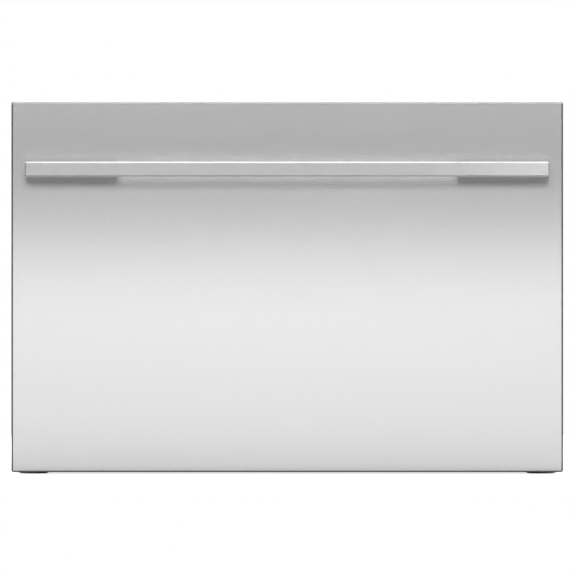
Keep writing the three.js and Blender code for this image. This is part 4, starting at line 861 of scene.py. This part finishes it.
# ---------- pump and filters
# The pump's cup hangs under the tub's floor with its rotor in it. A stainless filter plate
# lies over it, and a moulded cup with a twist bar stands in the plate.
rotor_white = moulded("rotor_moulding", (0.72, 0.72, 0.71), 0.38)
dressed("pump_cup", "pump_housing", 0.0008, dark_plastic, "drawer", "dark_plastic")
dressed("rotor_and_impeller", "pump_rotor", 0.0004, rotor_white, "pump_rotor", "white_plastic")
filter_steel, tree, surface = shader("satin_steel", 0.34, 1.0)
swirl = grain(tree, 1.0, (30.0, 700.0, 300.0), 4.0)
coated(tree, surface, swirl, (0.56, 0.57, 0.575), (0.68, 0.68, 0.675), (0.26, 0.4))
relief(tree, surface, swirl, 0.00003, 0.3)
dressed("filter_dish", "filter_plate", 0.0004, filter_steel, "drawer", "filter_steel")
dressed("drain_cup", "drain_filter", 0.0006, dispenser_grey, "drain_filter", "grey_plastic")

# ---------- spray arm
# Two hollow blades in one welded moulding, turned on the filter plate's post. They are
# crowned on top and flat below, and swept a little at their tips, with jets along them.
spray_grey = moulded("spray_moulding", (0.42, 0.44, 0.46), 0.36)
shoulder = 193.9
arm_low, arm_high = 98.7, 109.7
arm_turn = math.radians(20)


def blade_station(share):
    """How far out, the two edges, and the thickness left at a share of the blade's length."""
    if share <= 0.8:
        t = share / 0.8
        one, two, three = (1 - t) ** 2, 2 * t * (1 - t), t * t
        front, back = -18 * one - 30 * two - 10 * three, 18 * one + 20 * two + 20 * three
        return shoulder * t, front, back, 1.0
    u = 0.5 * (share - 0.8) / 0.2
    out = shoulder + 80 * u * (1 - u)
    front = -10 * (1 - u) ** 2 + 20 * u * u
    back = -10 * u * u + 20 * (1 - u) ** 2
    return out, front, back, 1 - 0.55 * (2 * u) ** 3


def blade_loop(share, side):
    """A section of the arm: flat below, crowned above."""
    out, front, back, thick = blade_station(share)
    if side < 0:
        out, front, back = -out, -back, -front
    middle, half = (front + back) / 2, max((back - front) / 2, 0.4)
    points = []
    for k in range(20):
        turn = 2 * math.pi * k / 20
        c, s = math.cos(turn), math.sin(turn)
        wide = math.copysign(abs(c) ** 0.62, c) * half
        rise = (arm_high - arm_low) * thick
        crown = 0.68 if s > 0 else 0.32
        height = arm_low + rise * (0.32 + crown * math.copysign(abs(s) ** 0.75, s))
        points.append((out, middle + wide, height))
    return points


shares = [1.0, 0.985, 0.96, 0.92, 0.87, 0.8, 0.65, 0.5, 0.35, 0.2, 0.08]
sections = [blade_loop(share, -1) for share in shares] + [blade_loop(0.0, 1)]
sections += [blade_loop(share, 1) for share in reversed(shares)]
spin = Matrix.Rotation(arm_turn, 4, "Z")


def on_arm(x, y, z):
    """A point of the arm, in millimetres from its axis, where the arm has been turned."""
    return at(0, tub_y, 0) + spin @ Vector((x / 1000, y / 1000, z / 1000))


arm = loft("spray_blades", [[on_arm(*point) for point in section] for section in sections],
           sharp=75)
hub = turned("spray_hub", [(0.0285, 0.0), (0.030, 0.0012), (0.030, 0.0122), (0.0288, 0.0138),
                           (0.026, 0.014), (0.0236, 0.0152), (0.0175, 0.0172), (0.0155, 0.018),
                           (0.010, 0.018), (0.0095, 0.0172), (0.004, 0.0172)],
             at(0, tub_y, 97.7), Z, 40, 35)
jet = turned("jet", [(0.0042, -0.002), (0.0040, 0.0014), (0.0034, 0.0026), (0.0028, 0.003),
                     (0.0016, 0.003), (0.0012, 0.0012)], Vector((0, 0, 0)), Z, 16)
outs = [56, 121, 185.9]
jet_places = [on_arm(side * out, -side * (4.0 if out < 100 else 1.5), arm_high + 0.2)
              for side in (-1, 1) for out in outs]
jets = set_out("spray_jets", jet, jet_places, [Z] * 6, spray_grey)
fitted(joined(arm, hub, jets), spray_grey, "spray_arm", "spray_plastic", "spray_arm")

# ---------- wire racks
# Steel wires bent and welded, then dipped in grey nylon. Wires run both ways under a
# heavier rail; one row of tines is welded on, and two rows fold down on their axles.
rack_front, rack_back = 60.0, 507.8
rack_half = 251.3
cross_height, length_height, rail_height = 123.4, 126.8, 215.4
wire_radius, rail_radius, leg_radius, tine_radius = 0.0020, 0.0026, 0.0030, 0.0017
length_x = [-225.3 + 450.6 * k / 8 for k in range(9)]
cross_y = [86.0 + 395.8 * k / 6 for k in range(7)]
tine_y = [110.0 + 347.8 * k / 10 for k in range(11)]
tine_length = 92.0
axle_height = 132.5

coated_wire, tree, surface = shader("coated_wire", 0.33)
coated(tree, surface, grain(tree, 45.0), (0.66, 0.68, 0.70), (0.75, 0.77, 0.785), (0.26, 0.42))
surface.inputs["Coat Weight"].default_value = 0.25
relief(tree, surface, grain(tree, 380.0), 0.00015, 0.4)


def wire_tree():
    """Turns lines into round wire with its corners bent, by nodes."""
    tree, sockets, way_in, way_out = node_tree(
        "bent_wire", ("Radius", "NodeSocketFloat"), ("Bend", "NodeSocketFloat"),
        ("Sides", "NodeSocketInt"), ("Finish", "NodeSocketMaterial"))
    line = tree.nodes.new("GeometryNodeMeshToCurve")
    corner = tree.nodes.new("GeometryNodeFilletCurve")
    corner.mode = "POLY"
    corner.inputs["Count"].default_value = 7
    corner.inputs["Limit Radius"].default_value = True
    ring = tree.nodes.new("GeometryNodeCurvePrimitiveCircle")
    sweep = tree.nodes.new("GeometryNodeCurveToMesh")
    sweep.inputs["Fill Caps"].default_value = True
    smooth = tree.nodes.new("GeometryNodeSetShadeSmooth")
    link = tree.links.new
    link(way_in.outputs["Geometry"], line.inputs["Mesh"])
    link(line.outputs["Curve"], corner.inputs["Curve"])
    link(way_in.outputs["Bend"], corner.inputs["Radius"])
    link(way_in.outputs["Radius"], ring.inputs["Radius"])
    link(way_in.outputs["Sides"], ring.inputs["Resolution"])
    link(corner.outputs["Curve"], sweep.inputs["Curve"])
    link(ring.outputs["Curve"], sweep.inputs["Profile Curve"])
    link(sweep.outputs["Mesh"], smooth.inputs["Geometry"])
    end_tree(tree, smooth.outputs["Geometry"], way_in, way_out)
    return tree, sockets


bent_wire, wire_sockets = wire_tree()


def wires(name, runs, radius, bend, sides=10, closed=False):
    """Round wires along runs of points, each bent at its corners."""
    points, lines = [], []
    for run in runs:
        first = len(points)
        points += [tuple(point) for point in run]
        lines += [(first + k, first + k + 1) for k in range(len(run) - 1)]
        if closed:
            lines.append((len(points) - 1, first))
    mesh = bpy.data.meshes.new(name)
    mesh.from_pydata(points, lines, [])
    piece = placed(name, mesh)
    sizes = {"Radius": radius, "Bend": bend, "Sides": sides, "Finish": coated_wire}
    built(piece, bent_wire, {wire_sockets[label]: value for label, value in sizes.items()})
    piece.data.set_sharp_from_angle(angle=math.radians(50))
    return piece


def rail_run(height, grow):
    """The corners of a level rail round the rack."""
    x, front, back = rack_half + grow, rack_front - grow, rack_back + grow
    return [at(-x, front, height), at(x, front, height), at(x, back, height), at(-x, back, height)]


def domes(name, places, radius):
    """Dipped round ends on wires that stand up."""
    tip = turned("tip", [(radius, -0.0040), (radius * 1.12, -0.0028), (radius * 1.16, -0.0016),
                         (radius * 1.02, -0.0006), (radius * 0.62, -0.0001), (radius * 0.2, 0.0)],
                 Vector((0, 0, 0)), Z, 8, 80)
    return set_out(name, tip, places, [Z] * len(places), coated_wire)


def tines(name, tips, x, foot):
    """A row of upright tines with dipped ends: the wires, and their ends."""
    uprights = [[at(x, y, foot), at(x, y, foot + tine_length - 0.5)] for y in tine_y]
    return (wires(name, uprights, tine_radius, 0.0, 8),
            domes(tips, [at(x, y, foot + tine_length) for y in tine_y], tine_radius))


middle_height = (rail_height + cross_height) / 2
lengthwise = [[at(x, rack_front, rail_height), at(x, rack_front, length_height),
               at(x, rack_back, length_height), at(x, rack_back, rail_height)] for x in length_x]
crosswise = [[at(-rack_half, y, rail_height), at(-rack_half, y, cross_height),
              at(rack_half, y, cross_height), at(rack_half, y, rail_height)] for y in cross_y]
rack = wires("base_rack_wires", lengthwise + crosswise, wire_radius, 0.008)
rack_rail = wires("rack_rail", [rail_run(rail_height, 0.0)], rail_radius, 0.041, 12, True)
mid_rail = wires("rack_mid_rail", [rail_run(middle_height, 3.4)], wire_radius, 0.042, 10, True)
legs = wires("rack_legs", [[at(x, y, cross_height), at(x, y, 77.7)]
                           for x in (-rack_half, rack_half) for y in (cross_y[0], cross_y[-1])],
             leg_radius, 0.0, 12)
fixed = tines("fixed_tines", "fixed_tips", length_x[6], length_height)
fitted(joined(rack, rack_rail, mid_rail, legs, *fixed), coated_wire, "drawer", "coated_wire",
       "base_rack")

clip_grey = moulded("clip_moulding", (0.30, 0.32, 0.34), 0.42)
clip_places = [(x, (tine_y[k] + tine_y[k + 1]) / 2, 126.8, 136.2)
               for x in (length_x[2], length_x[4]) for k in (0, 4, 9)]
for sign, y0, y1 in ((-1, 74.0, 276.9), (-1, 290.9, 493.8), (1, 290.9, 493.8)):
    clip_places += [(sign * 247.3, y, 215.4, 227.4) for y in (y0 + 20, y1 - 20)]
clips = [eased_box(f"clip_{k}", at(x - 3.5, y - 4, foot), at(x + 3.5, y + 4, head), 0.0009, 3)
         for k, (x, y, foot, head) in enumerate(clip_places)]
fitted(joined(*clips), clip_grey, "drawer", "basket_plastic")

for row, x in (("left", length_x[2]), ("middle", length_x[4])):
    ends = [at(x, tine_y[0] - 6, axle_height), at(x, tine_y[-1] + 6, axle_height)]
    axle = wires(f"tine_axle_{row}", [ends], tine_radius, 0.0, 10)
    folding = tines(f"folding_tines_{row}", f"folding_tips_{row}", x, axle_height)
    fitted(joined(axle, *folding), coated_wire, f"tine_row_{row}", "coated_wire",
           f"tine_row_{row}")

# ---------- cup shelves
# Three moulded shelves hinge on the rack's sides. Fine bars between their frames let the
# water through, and an upturned lip holds the stems of glasses.
basket_grey = moulded("basket_moulding", (0.31, 0.33, 0.355), 0.4)
hinge_x, frame_inner, frame_outer = 247.3, 241.8, 155.3
frame_low, frame_high = 221.6, 225.2
for place, sign in (("front_left", -1), ("rear_left", -1), ("rear_right", 1)):
    node = f"cup_shelf_{place}"
    low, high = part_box(node)
    front, back = (low.y - front_edge) * 1000, (high.y - front_edge) * 1000
    parts = []

    def rail(x0, x1, y0, y1, z0=frame_low, z1=frame_high, edge=0.0007):
        """One bar of this shelf, from its own sizes in millimetres."""
        left, right = sorted((sign * x0, sign * x1))
        parts.append(eased_box(f"rail_{place}_{len(parts)}", at(left, y0, z0), at(right, y1, z1),
                               edge, 2))

    rail(frame_inner, frame_inner - 6, front + 2, back - 2)
    rail(frame_outer + 6, frame_outer, front + 2, back - 2)
    rail(frame_outer + 2, frame_outer, front + 3, back - 3, frame_low, 231.0)
    rail(frame_inner - 1, frame_outer + 1, front + 2, front + 8)
    rail(frame_inner - 1, frame_outer + 1, back - 8, back - 2)
    for k in range(1, 6):
        y = front + 8 + (back - front - 16) * k / 6
        rail(frame_inner - 1, frame_outer + 1, y - 2.1, y + 2.1)
    for y in (front + 40, back - 40):
        rail(hinge_x, frame_inner - 2, y - 6, y + 6, frame_low + 0.2, frame_high - 0.2)
    for k in range(30):
        y = front + 8 + (back - front - 16) * (k + 0.5) / 30
        if abs((k + 0.5) / 5 - round((k + 0.5) / 5)) > 0.05:
            rail(frame_inner - 3, frame_outer + 3, y - 0.6, y + 0.6, 222.2, 224.4, 0.0003)
    reach = 0.001 * (back - front)
    pin = turned(f"pin_{place}", [(0.0012, 0.0), (0.0019, 0.0007), (0.0019, reach - 0.0007),
                                  (0.0012, reach)], at(sign * hinge_x, front, 223.4), Y, 14)
    fitted(joined(*parts, pin), basket_grey, node, "basket_plastic", node)

# ---------- cutlery basket
# A moulded basket in three cells, its walls opened into windows with a fine lattice. A
# hoop over the middle lifts it out.
basket = eased("basket_body", "cutlery_basket", 0.0007)
basket_x, basket_y, basket_z = (153.3, 237.3), (76.0, 276.9), (129.1, 247.1)
wall_mm = 2.4
cell = (basket_y[1] - basket_y[0] - 4 * wall_mm) / 3
rows = (basket_z[0] + 32, basket_z[1] - 32)


def lattice(name):
    """A grille for one window, made about the origin in the plane that faces up."""
    lines = [eased_box(f"{name}_up_{k}", (-0.0006 + 0.006 * k, -0.0175, -0.0007),
                       (0.0006 + 0.006 * k, 0.0175, 0.0007), 0.00015, 1) for k in (-1, 0, 1)]
    lines += [eased_box(f"{name}_over_{k}", (-0.0125, -0.0006 + 0.0068 * k, -0.00065),
                        (0.0125, 0.0006 + 0.0068 * k, 0.00065), 0.00015, 1)
              for k in (-2, -1, 0, 1, 2)]
    return joined(*lines)


grilles = []
for height in rows:
    for wall_x in (basket_x[0] + wall_mm / 2, basket_x[1] - wall_mm / 2):
        for k in range(3):
            for part in (0.25, 0.75):
                y = basket_y[0] + wall_mm + k * (cell + wall_mm) + cell * part
                grilles.append(turned_to(lattice("side"), at(wall_x, y, height), Y, Z, X))
    for wall_y in (basket_y[0] + wall_mm / 2, basket_y[1] - wall_mm / 2):
        for part in (0.25, 0.75):
            x = basket_x[0] + 84 * part
            grilles.append(turned_to(lattice("end"), at(x, wall_y, height), -X, Z, Y))
fitted(joined(basket, *grilles), basket_grey, "drawer", "basket_plastic", "cutlery_basket")

# ---------- services
# At the back stand the inlet valve with its threaded port, the drain outlet with its
# barbed port, and the mains terminal box with its gland. A float watches the drip tray.
valve_white = moulded("valve_moulding", (0.74, 0.74, 0.73), 0.42)


def ring_profile(inner, outer, half):
    """The section of a ridge round a port."""
    return [(inner, -half), (outer, -half * 0.35), (outer, half * 0.35), (inner, half)]


port_back = 561.0
valve = eased("valve_body", "inlet_valve", 0.0006)
threads = [turned(f"thread_{k}", ring_profile(0.0118, 0.0129, 0.0009),
                  at(-233, port_back - 2.5 - 2.1 * k, 46), Y, 28, 30) for k in range(5)]
fitted(joined(valve, *threads), valve_white, "chassis", "white_plastic", "inlet_valve")
outlet = eased("drain_outlet_body", "drain_outlet", 0.0006)
barbs = [turned(f"barb_{k}", [(0.0118, -0.0018), (0.0131, -0.0015), (0.0118, 0.0016)],
                at(233, port_back - 3.5 - 3.6 * k, 46), Y, 28, 30) for k in range(3)]
fitted(joined(outlet, *barbs), dark_plastic, "chassis", "dark_plastic", "drain_outlet")
case = eased("terminal_case", "terminal_box", 0.0010, 3)
case_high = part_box("terminal_box")[1]
nut = turned("gland_nut", [(0.0118, -0.0025), (0.0122, -0.0020), (0.0122, 0.0020),
                           (0.0114, 0.0025)], Vector((0.0, case_high.y - 0.0042, 0.046)), Y, 6, 20)
ribs = [turned(f"gland_rib_{k}", ring_profile(0.0088, 0.0096, 0.0005),
               Vector((0.0, case_high.y - 0.0009 - 0.0014 * k, 0.046)), Y, 20, 30)
        for k in range(2)]
fitted(joined(case, nut, *ribs), dark_plastic, "chassis", "dark_plastic", "terminal_box")
case_back = (case_high.y - front_edge) * 1000 - 9.0
spots = [at(x, case_back, z) for x in (-30, 30) for z in (16.5, 55.5)]
screwed("terminal_screws", spots, Y, 0.0026, 0.0012)
dressed("leak_float_disc", "leak_float", 0.0006, valve_white, "leak_float", "white_plastic", 3)
